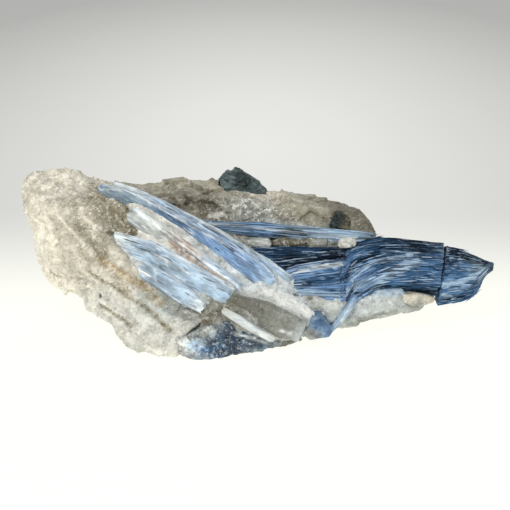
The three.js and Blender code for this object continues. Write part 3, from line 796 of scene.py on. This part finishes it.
ROUGH_SPOTS = [
    (1.0, (0.05, 0.5, 0.9)), (0.5, (0.1, 0.4, 0.5)), (0.7, (0.2, 0.4, 0.75)), (0.4, (0.3, 0.1, 0.2)),
    (0.5, (0.45, 0.15, 0.2)), (0.3, (0.35, 0.7, 0.75)), (1.0, (0.55, 0.65, 0.7)), (0.2, (0.5, 0.8, 0.8)),
    (0.15, (0.75, 0.7, 0.65)), (0.6, (0.65, 0.5, 0.55)), (0.2, (0.85, 0.3, 0.2)), (0.5, (0.5, 1.0, 0.5)),
]


def quartz_roughness(places):
    """How granular the quartz is at places in its box: most at the head and on the ridge's face."""
    spots = np.array([place for _, place in ROUGH_SPOTS])
    values = np.array([value for value, _ in ROUGH_SPOTS])
    weights = 1 / (((places[:, None] - spots[None]) ** 2 * (5.3, 1.0, 0.6)).sum(2) + 0.002) ** 2
    return (weights * values).sum(1) / weights.sum(1)


def colours():
    return bpy.context.scene.cluster_colours


def sizes():
    return bpy.context.scene.cluster_sizes


# The smoke zones darken the wedge between the head and the blades: partly the quartz's smoky brown, partly
# painted shade. Along the ridge the umber and buff zones on its top are painted light from above, and the dusk
# zones on its face are painted shade.
QUARTZ_ZONES = [
    ("cream", (0.05, 0.5, 0.9)), ("cream", (0.12, 0.5, 0.95)), ("ivory", (0.05, 0.4, 0.65)),
    ("ivory", (0.1, 0.35, 0.35)), ("cream", (0.15, 0.25, 0.5)), ("buff", (0.15, 0.3, 0.75)),
    ("buff", (0.2, 0.25, 0.6)), ("smoke", (0.2, 0.45, 0.85)), ("smoke", (0.25, 0.4, 0.7)),
    ("cream", (0.25, 0.2, 0.45)), ("frost", (0.2, 0.25, 0.3)), ("frost", (0.25, 0.15, 0.2)),
    ("frost", (0.35, 0.05, 0.1)), ("glass", (0.35, 0.15, 0.25)), ("slate", (0.4, 0.2, 0.2)),
    ("slate", (0.5, 0.15, 0.2)), ("umber", (0.35, 0.8, 0.85)), ("umber", (0.5, 0.8, 0.8)),
    ("buff", (0.6, 0.8, 0.8)), ("dusk", (0.35, 0.65, 0.75)), ("dusk", (0.45, 0.65, 0.7)),
    ("slate", (0.55, 0.65, 0.7)), ("umber", (0.7, 0.7, 0.7)), ("dusk", (0.8, 0.7, 0.65)),
    ("dusk", (0.65, 0.55, 0.55)), ("slate", (0.75, 0.55, 0.55)), ("glass", (0.7, 0.25, 0.3)),
    ("pearl", (0.85, 0.3, 0.2)), ("slate", (0.85, 0.3, 0.1)),
    ("cream", (0.1, 0.9, 0.7)), ("buff", (0.2, 0.95, 0.4)), ("umber", (0.4, 1.0, 0.6)),
    ("dusk", (0.7, 1.0, 0.6)), ("frost", (0.45, 1.0, 0.15)), ("frost", (0.4, 0.5, 0.0)),
    ("buff", (0.7, 0.6, 0.0)),
]
MARKS = {
    "quartz_matrix": [
        # The sunk dark marks are painted shade: tan beside the lowest blade, smoke in the wedge and in the
        # cracks beside the ledges, dusk along the ridge's face, olive in the hollow under the blades, and the
        # dark dots in the holes and the notch.
        ("tan", 1.5, -0.3, [(0.2, 0.25, 0.55), (0.35, 0.2, 0.3)]),
        ("smoke", 1.6, -0.5, [(0.15, 0.3, 0.75), (0.22, 0.25, 0.55)]),
        ("ivory", 0.6, 0.4, [(0.1, 0.35, 0.8), (0.2, 0.25, 0.55)]),
        ("ivory", 0.6, 0.4, [(0.15, 0.4, 0.82), (0.2, 0.3, 0.7)]),
        ("ivory", 1.5, 0.9, [(0.1, 0.4, 0.35), (0.16, 0.25, 0.36)]),
        ("smoke", 0.6, -0.6, [(0.08, 0.4, 0.4), (0.16, 0.3, 0.4)]),
        ("smoke", 0.8, -0.6, [(0.18, 0.25, 0.45), (0.3, 0.15, 0.3), (0.37, 0.05, 0.17)]),
        ("smoke", 0.8, -0.6, [(0.2, 0.2, 0.25), (0.28, 0.1, 0.17)]),
        ("hole_shade", 0.7, -0.8, [(0.2, 0.25, 0.3)]),
        ("dusk", 0.5, -0.3, [(0.33, 0.7, 0.78), (0.45, 0.7, 0.79)]),
        ("hole_shade", 0.8, -1.0, [(0.4, 0.65, 0.75)]),
        ("frost", 1.1, 0.3, [(0.46, 0.65, 0.67), (0.49, 0.65, 0.68)]),
        ("frost", 0.35, 0.1, [(0.56, 0.65, 0.75), (0.6, 0.65, 0.67)]),
        ("frost", 0.35, 0.1, [(0.6, 0.7, 0.75), (0.61, 0.65, 0.67)]),
        ("frost", 0.35, 0.1, [(0.53, 0.65, 0.74), (0.53, 0.65, 0.66)]),
        ("glass", 1.2, 0.2, [(0.6, 0.65, 0.63), (0.7, 0.65, 0.6)]),
        ("ice", 1.5, 0.1, [(0.84, 0.3, 0.3), (0.92, 0.35, 0.28)]),
        ("slate", 1.0, -0.2, [(0.8, 0.3, 0.1), (0.9, 0.3, 0.15)]),
        ("olive", 0.9, -0.2, [(0.63, 0.25, 0.33), (0.7, 0.25, 0.28)]),
    ],
    "blade_bed": [
        ("rose", 0.9, 0.0, [(0.36, 0.3, 0.62), (0.5, 0.2, 0.42)]),
        ("white", 0.5, 0.2, [(0.34, 0.3, 0.67), (0.54, 0.2, 0.38)]),
        # The sunk dusk line and the dark dot are painted shade between the blades.
        ("dusk", 1.4, -0.2, [(0.45, 0.15, 0.2), (0.53, 0.15, 0.32)]),
        ("hole_shade", 0.7, -0.3, [(0.5, 0.1, 0.2)]),
        ("white", 0.6, 0.2, [(0.62, 0.4, 0.45), (0.66, 0.3, 0.38)]),
    ],
    # On the main and tip bundles the sunk ink lines along the fold, the ink line along the tip's top and the
    # navy line under the tip are painted shade.
    "main_bundle": [
        ("ice", 1.2, 0.5, [(0.0, 0.0, 0.25), (0.15, 0.1, 0.47), (0.5, 0.2, 0.6), (0.8, 0.4, 0.72)]),
        ("ink", 0.9, -0.3, [(0.15, 0.0, 0.36), (0.4, 0.1, 0.46), (0.7, 0.2, 0.38), (1.0, 0.3, 0.22)]),
        ("ink", 0.8, -0.5, [(0.05, 0.2, 0.56), (0.15, 0.3, 0.75), (0.4, 0.45, 0.87)]),
        ("ice", 0.7, 0.4, [(0.1, 0.15, 0.52), (0.3, 0.3, 0.75), (0.75, 0.45, 0.8)]),
    ],
    "tip_bundle": [
        ("ice", 1.0, 0.45, [(0.05, 0.0, 0.43), (0.4, 0.1, 0.47), (0.85, 0.25, 0.61)]),
        ("ice", 0.6, 0.1, [(0.1, 0.05, 0.25), (0.25, 0.1, 0.22)]),
        ("navy", 1.3, -0.1, [(0.1, 0.1, 0.12), (0.65, 0.2, 0.2)]),
        ("ink", 1.2, 0.0, [(0.3, 0.45, 0.93), (0.85, 0.3, 0.75)]),
    ],
    "fan_bundle": [
        ("pearl", 0.7, 0.35, [(0.4, 0.3, 0.78), (0.6, 0.45, 0.9), (1.0, 0.6, 0.92)]),
        ("ice", 0.8, 0.2, [(0.4, 0.05, 0.32), (0.95, 0.1, 0.13)]),
        ("navy", 1.4, -0.15, [(0.5, 0.1, 0.56), (0.95, 0.25, 0.62)]),
    ],
    "back_blade": [
        ("pearl", 0.35, 0.15, [(0.05, 0.1, 1.0), (0.9, 0.2, 0.3)]),
        ("navy", 0.7, -0.1, [(0.05, 0.0, 0.7), (0.6, 0.05, 0.4)]),
    ],
    "upper_blade": [
        ("pearl", 0.4, 0.15, [(0.0, 0.9, 0.97), (0.2, 0.9, 0.94), (0.75, 0.25, 0.5)]),
        ("sky", 1.3, -0.1, [(0.35, 0.65, 0.74), (0.7, 0.25, 0.38)]),
        ("ice", 0.8, 0.1, [(0.75, 0.2, 0.27), (0.95, 0.0, 0.05)]),
    ],
    "pale_blade": [
        ("white", 0.5, 0.2, [(0.05, 0.8, 0.95), (0.2, 0.7, 0.88), (0.95, 0.0, 0.11)]),
        ("rose", 1.0, -0.05, [(0.3, 0.55, 0.62), (0.43, 0.45, 0.48)]),
        ("steel", 0.8, -0.1, [(0.55, 0.35, 0.4), (0.75, 0.15, 0.22)]),
    ],
    "lower_blade": [
        ("steel", 0.7, -0.2, [(0.15, 0.7, 0.88), (0.4, 0.5, 0.7)]),
        ("steel", 0.5, -0.2, [(0.28, 0.55, 0.64), (0.42, 0.45, 0.54)]),
        ("white", 0.5, 0.15, [(0.05, 0.8, 0.91), (0.2, 0.55, 0.62)]),
        ("white", 0.4, 0.2, [(0.35, 0.55, 0.76), (0.65, 0.25, 0.48)]),
    ],
    "lowest_blade": [("white", 0.6, 0.1, [(0.05, 0.65, 0.84), (0.3, 0.5, 0.66)])],
    "dark_foot": [
        ("white", 0.9, 0.1, [(0.0, 0.1, 0.37), (0.15, 0.05, 0.15)]),
        ("denim", 0.9, -0.1, [(0.2, 0.1, 0.25), (0.37, 0.15, 0.33)]),
        ("navy", 1.3, -0.2, [(0.4, 0.25, 0.47), (0.65, 0.4, 0.22)]),
        ("pearl", 0.5, 0.2, [(0.43, 0.3, 0.66), (0.7, 0.45, 0.26)]),
    ],
    "curled_blade": [("pearl", 0.4, 0.1, [(0.8, 0.2, 0.8), (0.4, 0.05, 0.35)])],
    "grey_blade": [
        ("dusk", 1.1, -0.3, [(0.0, 0.5, 0.95), (0.4, 0.45, 0.4)]),
        ("white", 1.0, 0.2, [(0.7, 0.4, 0.3), (0.85, 0.4, 0.22)]),
    ],
    "white_blade": [
        ("pearl", 1.0, -0.2, [(0.1, 0.5, 0.7), (0.25, 0.5, 0.5)]),
        ("white", 0.5, 0.2, [(0.3, 0.5, 0.9), (0.9, 0.5, 0.35)]),
    ],
}


BED_ZONES = [
    ("frost", (0.2, 0.4, 0.85)), ("frost", (0.3, 0.35, 0.6)), ("pearl", (0.4, 0.2, 0.45)),
    ("glass", (0.35, 0.2, 0.35)), ("slate", (0.4, 0.2, 0.2)), ("olive", (0.45, 0.1, 0.2)),
    ("olive", (0.52, 0.1, 0.28)), ("slate", (0.56, 0.1, 0.2)), ("glass", (0.62, 0.1, 0.15)),
    ("glass", (0.6, 0.15, 0.3)), ("pearl", (0.65, 0.25, 0.4)), ("pearl", (0.55, 0.25, 0.4)),
]
FRONT_BLADES = {
    "upper_blade": ["steel", "steel", "denim", "sky", "sky", "ice"],
    "rim_blade": ["pearl", "ice", "steel", "ice"],
    "pale_blade": ["pearl", "glass", "rose", "ice", "ice"],
    "lower_blade": ["pearl", "ice", "ice", "ice"],
    "lowest_blade": ["white", "ice", "ice", "pearl"],
}
LOW_BLADES = {
    "grey_blade": ["dusk", "olive", "slate", "pearl"],
    "white_blade": ["white", "white", "white"],
}
BED_NODES = [*FRONT_BLADES, *LOW_BLADES, "white_splinter", "blue_stub", "dark_foot", "fan_bundle"]
BUNDLE_ZONES = {
    # Along the tops of the main and tip bundles the ink and navy zones are painted shade.
    "main_bundle": [
        ("navy", (0.3, 0.6, 1.0)), ("ink", (0.8, 0.6, 1.0)), ("navy", (0.6, 0.5, 0.85)),
        ("denim", (0.25, 0.35, 0.75)), ("denim", (0.6, 0.25, 0.65)), ("denim", (0.9, 0.3, 0.55)),
        ("sky", (0.2, 0.1, 0.45)), ("denim", (0.45, 0.1, 0.5)), ("navy", (0.75, 0.2, 0.3)),
        ("navy", (0.5, 1.0, 0.5)), ("denim", (0.5, 0.5, 0.0)),
    ],
    "tip_bundle": [
        ("ink", (0.1, 0.4, 1.0)), ("ink", (0.5, 0.4, 0.9)), ("navy", (0.3, 0.3, 0.8)),
        ("denim", (0.4, 0.15, 0.6)), ("sky", (0.4, 0.1, 0.48)), ("steel", (0.76, 0.25, 0.68)),
        ("denim", (0.1, 0.1, 0.4)),
        ("denim", (0.5, 0.2, 0.2)), ("navy", (0.95, 0.5, 0.7)), ("navy", (0.3, 1.0, 0.5)),
    ],
    "fan_bundle": [
        ("ice", (0.0, 0.1, 0.3)), ("ice", (0.3, 0.05, 0.3)), ("sky", (0.5, 0.15, 0.65)),
        ("denim", (0.8, 0.3, 0.65)), ("sky", (0.8, 0.1, 0.2)), ("ice", (0.5, 0.0, 0.05)),
        ("denim", (0.9, 0.65, 1.0)), ("sky", (0.6, 0.2, 0.9)),
    ],
    "shadow_bundle": [
        ("sky", (0.0, 0.5, 0.5)), ("navy", (0.3, 0.25, 0.7)), ("ink", (0.55, 0.2, 0.6)),
        ("ink", (0.95, 0.2, 0.6)), ("navy", (0.6, 0.5, 1.0)),
    ],
    "back_blade": [
        ("denim", (0.0, 0.5, 0.9)), ("denim", (0.1, 0.05, 0.95)), ("ice", (0.1, 0.05, 0.5)),
        ("sky", (0.35, 0.0, 0.55)), ("steel", (0.55, 0.05, 0.35)), ("ice", (0.75, 0.15, 0.45)),
        ("steel", (1.0, 0.5, 0.2)),
    ],
}


def named(zones):
    """Zones with the cluster's colours looked up by name."""
    palette = colours()
    return [(tuple(getattr(palette, colour)), place) for colour, place in zones]


def down_the_blade(*names):
    """Zones from a blade's upper left end to its lower right one."""
    last = len(names) - 1
    shares = [i / last for i in range(len(names))]
    return named([(name, (share, 0.65 - 0.3 * share, 1 - share)) for name, share in zip(names, shares)])


# ---- Operators ----
class CLUSTER_OT_stage(bpy.types.Operator):
    """Set out the pale floor, the soft lights and the camera"""
    bl_idname = "cluster.stage"
    bl_label = "Stage"

    def execute(self, context):
        set_out_stage(context.scene)
        return {"FINISHED"}


class CLUSTER_OT_quartz(bpy.types.Operator):
    """Build the broken quartz that holds the crystals"""
    bl_idname = "cluster.quartz"
    bl_label = "Quartz"

    def execute(self, context):
        relief = {"Swell": (9.0, 0.9), "Face": (3.8, 1.1), "Grain": (1.5, 0.5)}
        material = quartz("vein quartz", 0.8, 0.23, glint_share=0.75)
        piece = stone("broken_quartz", "quartz_matrix", sizes().rock_step, relief, material,
                      named(QUARTZ_ZONES), 2.4, quartz_roughness, wander=(5.0, 2.5), grow=0.3, reach=1.9)
        finished(piece, "milky_quartz", "quartz_matrix")
        return {"FINISHED"}


class CLUSTER_OT_bed(bpy.types.Operator):
    """Build the quartz that fills the cracks between the blades"""
    bl_idname = "cluster.bed"
    bl_label = "Bed of the blades"

    def execute(self, context):
        piece = filled("blade_bed", BED_NODES, sizes().rock_step, 2.6, 0.5, 4)
        store(piece.data, "rough", "FLOAT", np.full(len(piece.data.vertices), 0.6))
        dressed(piece, "quartz_matrix", named(BED_ZONES), 1.6, MARKS["blade_bed"])
        relief = {"Swell": (5.0, 0.2), "Face": (2.0, 0.2), "Grain": (1.25, 0.1)}
        broken(piece, relief, quartz("quartz between blades"))
        finished(piece, "milky_quartz")
        return {"FINISHED"}


class CLUSTER_OT_chips(bpy.types.Operator):
    """Scatter broken grains over the quartz"""
    bl_idname = "cluster.chips"
    bl_label = "Quartz chips"

    def execute(self, context):
        template = chip_template()
        values = {"Per square metre": 0.1 / MM ** 2, "Size": sizes().chip_size, "Template": template,
                  "Material": quartz("quartz grains", 0.6, 0.2, 0.2, glint_share=0.25)}
        laid_on("broken_quartz", "quartz_chips", chip_tree(), values, "milky_quartz")
        bpy.data.objects.remove(template)
        return {"FINISHED"}


def laid_on(source, name, tree, values, slot):
    """A piece of small things laid on a finished piece's surface."""
    piece = bpy.data.objects.new(name, bpy.data.objects[source].data.copy())
    bpy.context.scene.collection.objects.link(piece)
    settled(piece, tree, values)
    return finished(piece, slot)


class CLUSTER_OT_front_blades(bpy.types.Operator):
    """Build the blades that run down the front"""
    bl_idname = "cluster.front_blades"
    bl_label = "Front blades"

    def execute(self, context):
        blue = kyanite("blue kyanite", "#dbe6ee", 0.35, 0.4, (5.0, 0.55), rim=0.7, patchy=0.5)
        pale = kyanite("pale kyanite", "#eef2f0", 0.3, 0.35, (4.5, 0.6), rim=0.7, patchy=0.45)
        for node, tones in FRONT_BLADES.items():
            material, slot = (blue, "blue_kyanite") if node == "upper_blade" else (pale, "pale_kyanite")
            stretch = (1.0, 0.9) if node == "rim_blade" else (1.12, 0.88)
            grained(node, down_the_blade(*tones), material, slot, 0.9, strands=0.6, laminae=2.4,
                    stretch=stretch)
        return {"FINISHED"}


STRAND_LENGTH = 8 * MM
LAMINA_LENGTH = 14 * MM


def grained(node, zones, material, slot, splinters=1.6, strands=1.0, laminae=1.0, **how):
    """A blade or bundle with its fibres and cleavage steps."""
    size = sizes()
    piece = wrapped(f"{node}_crystal", node, size.blade_step, **how)
    values = {
        "Strand width": size.strand_width, "Strand length": STRAND_LENGTH,
        "Strand height": size.strand_height * strands,
        "Lamina width": size.lamina_width, "Lamina length": LAMINA_LENGTH,
        "Lamina step": size.lamina_step * laminae,
        "Splinter length": splinters * MM, "Material": material,
    }
    dressed(piece, node, zones, 1.5, MARKS.get(node, ()), (3.0, 0.8))
    settled(piece, grained_tree(), values)
    return finished(piece, slot, node)


CURL_RISE = 7.0 * MM
CURL_LENGTH = 4.5 * MM


def main_flow(distance, share):
    """The main bundle's lower fibres rise steeply out of the curled blade, and level off to the right."""
    return -CURL_RISE * np.exp(-distance / CURL_LENGTH) * np.clip(0.75 - share * 0.75, 0, 1)


class CLUSTER_OT_bundles(bpy.types.Operator):
    """Build the dark fibrous bundles and the blades beside them"""
    bl_idname = "cluster.bundles"
    bl_label = "Dark bundles"

    def execute(self, context):
        dark = kyanite("dark kyanite", "#bacee0", 0.7, 1.0, (9.0, 0.4), 0.45, 0.04, patchy=0.2)
        pale = kyanite("curled kyanite", "#e4ecf2", 0.5, 0.4, (4.0, 0.4))
        shapes = {
            "main_bundle": {"splinters": 0.3, "slant": (0.0, 3.0), "flow": main_flow},
            "tip_bundle": {"splinters": 0.3, "slant": (3.0, 0.0)},
            "fan_bundle": {"splinters": 1.5},
            "shadow_bundle": {"splinters": 1.5},
            "back_blade": {"splinters": 2.0},
        }
        for node, shape in shapes.items():
            grained(node, named(BUNDLE_ZONES[node]), dark, "dark_kyanite", strands=1.5, laminae=1.8,
                    gather=True, along=(1.0, 0.0, 0.0), **shape)
        curled = named([("ice", (0.5, 0.5, 0.2)), ("sky", (0.5, 0.5, 1.2))])
        grained("curled_blade", curled, pale, "pale_kyanite", splinters=0.8)
        return {"FINISHED"}


class CLUSTER_OT_low_blades(bpy.types.Operator):
    """Build the clear quartz blades low on the front"""
    bl_idname = "cluster.low_blades"
    bl_label = "Low blades"

    def execute(self, context):
        clear = quartz("clear quartz blade", 0.9, 0.2, 0.3, "#f4f5f2", 0.12, 0.5, clear=0.15)
        split = kyanite("white quartz splinter", "#fbfcfb", 0.4, 0.15, (5.0, 0.6), 0.25, 0.5, clear=0.2)
        grained("white_splinter", down_the_blade("glass", "pearl", "white"), split, "clear_quartz", 0.6)
        worn = {"Swell": (5.0, 0.3), "Face": (3.0, 0.3), "Grain": (1.2, 0.1)}
        step = sizes().small_rock_step
        for node, tones in LOW_BLADES.items():
            piece = stone(f"{node}_stone", node, step, worn, clear, down_the_blade(*tones), 1.0, soften=3,
                          reach=0.5)
            finished(piece, "clear_quartz", node)
        return {"FINISHED"}


class CLUSTER_OT_small_stones(bpy.types.Operator):
    """Build the pale grains, the cream lens, the blue stub, the mica and the dark foot"""
    bl_idname = "cluster.small_stones"
    bl_label = "Small stones"

    def execute(self, context):
        step = sizes().small_rock_step
        grainy = {"Swell": (5.0, 0.25), "Face": (2.2, 0.35), "Grain": (0.9, 0.2)}
        smooth = {"Swell": (6.0, 0.2), "Face": (3.5, 0.25), "Grain": (1.2, 0.05)}
        flaky = {"Swell": (4.0, 0.4), "Face": (2.4, 0.7), "Grain": (0.9, 0.3)}
        coarse = {"Swell": (6.0, 0.7), "Face": (2.8, 0.6), "Grain": (1.2, 0.25)}
        milky = quartz("milky quartz grain", 0.7, 0.2)
        cream = quartz("cream feldspar", 0.9, 0.15, 0.15, pit_share=0.2)
        stub = kyanite_mass("broken kyanite", 1.6, 0.4, 0.2)
        foot = kyanite_mass("massive kyanite", 0.8, 0.6, 0.45)
        flakes = mica("biotite mica")
        jobs = [
            ("left_grain", grainy, milky, "milky_quartz",
             [("slate", (0, 0.3, 0.5)), ("glass", (0.8, 0.3, 0.7))]),
            ("right_grain", grainy, milky, "milky_quartz",
             [("frost", (0.5, 0.5, 0.7)), ("glass", (0.5, 0.5, 0))]),
            ("cream_lens", smooth, cream, "cream_feldspar",
             [("cream", (0.3, 0.3, 0.7)), ("buff", (0.8, 0.5, 0.3)), ("slate", (0.4, 0.2, 0.0))]),
            ("blue_stub", smooth, stub, "blue_kyanite",
             [("denim", (0.5, 0.2, 0.75)), ("slate", (0.25, 0.1, 0.15)), ("sky", (0.9, 0.2, 0.4))]),
            ("mica_knob", flaky, flakes, "dark_mica",
             [("moss", (0.1, 0.3, 0.6)), ("night", (0.5, 0.2, 0.7)), ("moss", (0.75, 0.3, 0.8)),
              ("moss", (0.3, 0.1, 0.1))]),
            ("mica_spot", flaky, flakes, "dark_mica",
             [("night", (0.4, 0.1, 0.6)), ("dusk", (0.8, 0.3, 0.2))]),
            ("dark_foot", coarse, foot, "dark_kyanite",
             [("white", (0.0, 0.1, 0.15)), ("glass", (0.05, 0.1, 0.6)), ("ice", (0.14, 0.1, 0.4)),
              ("slate", (0.2, 0.1, 0.85)), ("navy", (0.3, 0.15, 0.3)), ("navy", (0.4, 0.2, 0.3)),
              ("navy", (0.5, 0.3, 0.55)), ("steel", (0.65, 0.4, 0.2)), ("slate", (0.9, 0.7, 0.2)),
              ("slate", (0.5, 1.0, 0.5))]),
        ]
        for node, relief, material, slot, zones in jobs:
            piece = stone(f"{node}_stone", node, step, relief, material, named(zones), 1.0)
            finished(piece, slot, node)
        return {"FINISHED"}


def kyanite_mass(name, grain_mm, contrast, glint_share):
    """Massive kyanite: short blades felted together any way, so that it is mottled blue, grey and white."""
    return quartz(name, grain_mm, contrast, 0.1, "#e9efef", glint_share)


SLIVER_WIDTH = 0.3 * MM
SLIVER_THICKNESS = 0.24 * MM


class CLUSTER_OT_slivers(bpy.types.Operator):
    """Lay slivers of kyanite along the grain of every blade and bundle"""
    bl_idname = "cluster.slivers"
    bl_label = "Kyanite slivers"

    def execute(self, context):
        template = sliver_template()
        length = sizes().sliver_length
        dark = kyanite_sliver("dark kyanite sliver", "#b4cade", 0.9, 0.45, 0.04)
        pale = kyanite_sliver("pale kyanite sliver", "#eef2f2", 0.7)
        jobs = [
            ("main_bundle", dark, "dark_kyanite", 0.75, 0.85), ("tip_bundle", dark, "dark_kyanite", 0.9, 0.6),
            ("fan_bundle", dark, "dark_kyanite", 0.7, 1.0), ("shadow_bundle", dark, "dark_kyanite", 0.9, 1.1),
            ("back_blade", dark, "dark_kyanite", 0.8, 1.2), ("upper_blade", pale, "blue_kyanite", 0.2, 0.6),
            ("rim_blade", pale, "pale_kyanite", 0.2, 0.5), ("pale_blade", pale, "pale_kyanite", 0.15, 0.5),
            ("lower_blade", pale, "pale_kyanite", 0.15, 0.6),
            ("lowest_blade", pale, "pale_kyanite", 0.15, 0.6),
        ]
        for node, material, slot, density, reach in jobs:
            values = {"Per square metre": density / MM ** 2, "Length": length * reach, "Width": SLIVER_WIDTH,
                      "Thickness": SLIVER_THICKNESS, "Template": template, "Material": material}
            laid_on(f"{node}_crystal", f"{node}_slivers", sliver_tree(), values, slot)
        bpy.data.objects.remove(template)
        return {"FINISHED"}


def sliver_template():
    """A sliver one unit long, wide and thick, with tapered ends."""
    stations = ((-0.5, 0.15), (-0.32, 0.8), (0.2, 1.0), (0.5, 0.1))
    vertices = [(x, y * share / 2, z * share / 2) for x, share in stations
                for y, z in ((-1, -0.4), (0.6, -1), (1, 0.4), (-0.6, 1))]
    faces = [(3, 2, 1, 0), (12, 13, 14, 15)]
    for i in range(0, 12, 4):
        faces += [(i + j, i + (j + 1) % 4, i + 4 + (j + 1) % 4, i + 4 + j) for j in range(4)]
    return new_piece("sliver_template", vertices, faces)


def chip_template():
    """A broken grain about one unit across."""
    draw = np.random.default_rng(7)
    corners = draw.normal(size=(9, 3))
    corners *= 0.5 / np.linalg.norm(corners, axis=1)[:, None]
    work = bmesh.new()
    for corner in corners:
        work.verts.new(corner)
    bmesh.ops.convex_hull(work, input=work.verts)
    bmesh.ops.recalc_face_normals(work, faces=work.faces)
    piece = new_piece("chip_template", [], [])
    work.to_mesh(piece.data)
    work.free()
    return piece


# ---- Stage ----
LOOK_AT = Vector((-0.6, -4.5, 21.6)) * MM
VIEW_DISTANCE = 390 * MM
VIEW_HEIGHT = math.radians(18)
POOL_SHIFT = (0.0, -0.21, 0.0)
POOL_SHAPE = (2.4, 1.0, 1.0)
POOL_FADE = ((0.0, 0.785), (0.1, 0.745), (0.2, 0.665), (0.3, 0.585), (0.41, 0.495), (0.525, 0.418))
FLOOR_GLOW = 0.93
FLOOR_REACH = 3.0
LIGHTS = [("key", (-0.28, -0.5, 0.62), 0.6, 4.2), ("fill", (0.5, -0.5, 0.3), 0.6, 0.9),
          ("top", (0.1, 0.35, 0.6), 0.5, 1.3)]
ROOM_COLOUR = (0.95, 0.97, 1.0, 1)
ROOM_LIGHT = 0.3
LENS_MM = 100


def aimed(thing, at):
    thing.rotation_euler = (at - thing.location).to_track_quat("-Z", "Y").to_euler()


def soft_light(name, place, size, power):
    lamp = bpy.data.lights.new(name, "AREA")
    lamp.shape = "DISK"
    lamp.size = size
    lamp.energy = power
    light = bpy.data.objects.new(name, lamp)
    light.location = place
    bpy.context.scene.collection.objects.link(light)
    aimed(light, LOOK_AT)


def floor_material():
    """A white light table, full white round the cluster, and behind it a pool of light that fades to grey."""
    material, tree = new_material("white light table")
    place = add(tree, "ShaderNodeTexCoord").outputs["Object"]
    pool = add(tree, "ShaderNodeMapping", {0: place, 1: POOL_SHIFT, 3: POOL_SHAPE})
    away = add(tree, "ShaderNodeVectorMath", {0: pool}, operation="LENGTH").outputs["Value"]
    fade = add(tree, "ShaderNodeValToRGB", {0: away})
    while len(fade.color_ramp.elements) < len(POOL_FADE):
        fade.color_ramp.elements.new(0.5)
    for element, (distance, level) in zip(fade.color_ramp.elements, POOL_FADE):
        element.position = distance
        element.color = (level * 0.993, level, level * 0.955, 1)
    depth = add(tree, "ShaderNodeSeparateXYZ", {0: place}).outputs[1]
    near = add(tree, "ShaderNodeMapRange", {0: depth, 1: 0.12, 2: -0.005, 3: 0.0, 4: 1.0},
               interpolation_type="SMOOTHSTEP")
    light = add(tree, "ShaderNodeMix", {0: near, 6: fade, 7: (1.03, 1.03, 0.945, 1)}, data_type="RGBA")
    surface = add(tree, "ShaderNodeBsdfPrincipled",
                  {"Base Color": (0.12, 0.12, 0.118, 1), "Roughness": 0.9, "Specular IOR Level": 0.0,
                   "Emission Color": light.outputs[2], "Emission Strength": FLOOR_GLOW})
    add(tree, "ShaderNodeOutputMaterial", {0: surface})
    return material


def set_out_stage(scene):
    corners = [(x * FLOOR_REACH, y * FLOOR_REACH, 0) for x, y in ((-1, -1), (1, -1), (1, 1), (-1, 1))]
    floor = new_piece("floor", corners, [(0, 1, 2, 3)])
    floor.data.materials.append(floor_material())
    for light in LIGHTS:
        soft_light(*light)
    world = bpy.data.worlds.new("soft room")
    world.use_nodes = True
    room = world.node_tree.nodes["Background"].inputs
    room["Color"].default_value = ROOM_COLOUR
    room["Strength"].default_value = ROOM_LIGHT
    scene.world = world
    lens = bpy.data.cameras.new("camera")
    lens.lens = LENS_MM
    lens.clip_start = 0.01
    camera = bpy.data.objects.new("camera", lens)
    camera.location = LOOK_AT + VIEW_DISTANCE * Vector((0, -math.cos(VIEW_HEIGHT), math.sin(VIEW_HEIGHT)))
    scene.collection.objects.link(camera)
    aimed(camera, LOOK_AT)
    scene.camera = camera
    scene.view_settings.view_transform = "Standard"


class CLUSTER_PT_panel(bpy.types.Panel):
    """Lists the cluster's sizes, colours and pieces"""
    bl_label = "Kyanite blade cluster"
    bl_idname = "CLUSTER_PT_panel"
    bl_space_type = "VIEW_3D"
    bl_region_type = "UI"
    bl_category = "Kyanite"

    def draw(self, context):
        for group in (context.scene.cluster_sizes, context.scene.cluster_colours):
            box = self.layout.box()
            for name in group.__annotations__:
                box.prop(group, name)
        for operator in OPERATORS:
            self.layout.operator(operator.bl_idname)


OPERATORS = [
    CLUSTER_OT_stage, CLUSTER_OT_quartz, CLUSTER_OT_bed, CLUSTER_OT_chips, CLUSTER_OT_front_blades,
    CLUSTER_OT_bundles, CLUSTER_OT_low_blades, CLUSTER_OT_small_stones, CLUSTER_OT_slivers,
]
CLASSES = [ClusterSizes, ClusterColours, *OPERATORS, CLUSTER_PT_panel]


def register():
    for kind in CLASSES:
        bpy.utils.register_class(kind)
    bpy.types.Scene.cluster_sizes = bpy.props.PointerProperty(type=ClusterSizes)
    bpy.types.Scene.cluster_colours = bpy.props.PointerProperty(type=ClusterColours)


def unregister():
    del bpy.types.Scene.cluster_colours
    del bpy.types.Scene.cluster_sizes
    for kind in reversed(CLASSES):
        bpy.utils.unregister_class(kind)


def main():
    """Builds the stage and every piece."""
    register()
    for operator in OPERATORS:
        group, name = operator.bl_idname.split(".")
        getattr(getattr(bpy.ops, group), name)()


if __name__ == "__main__":
    main()
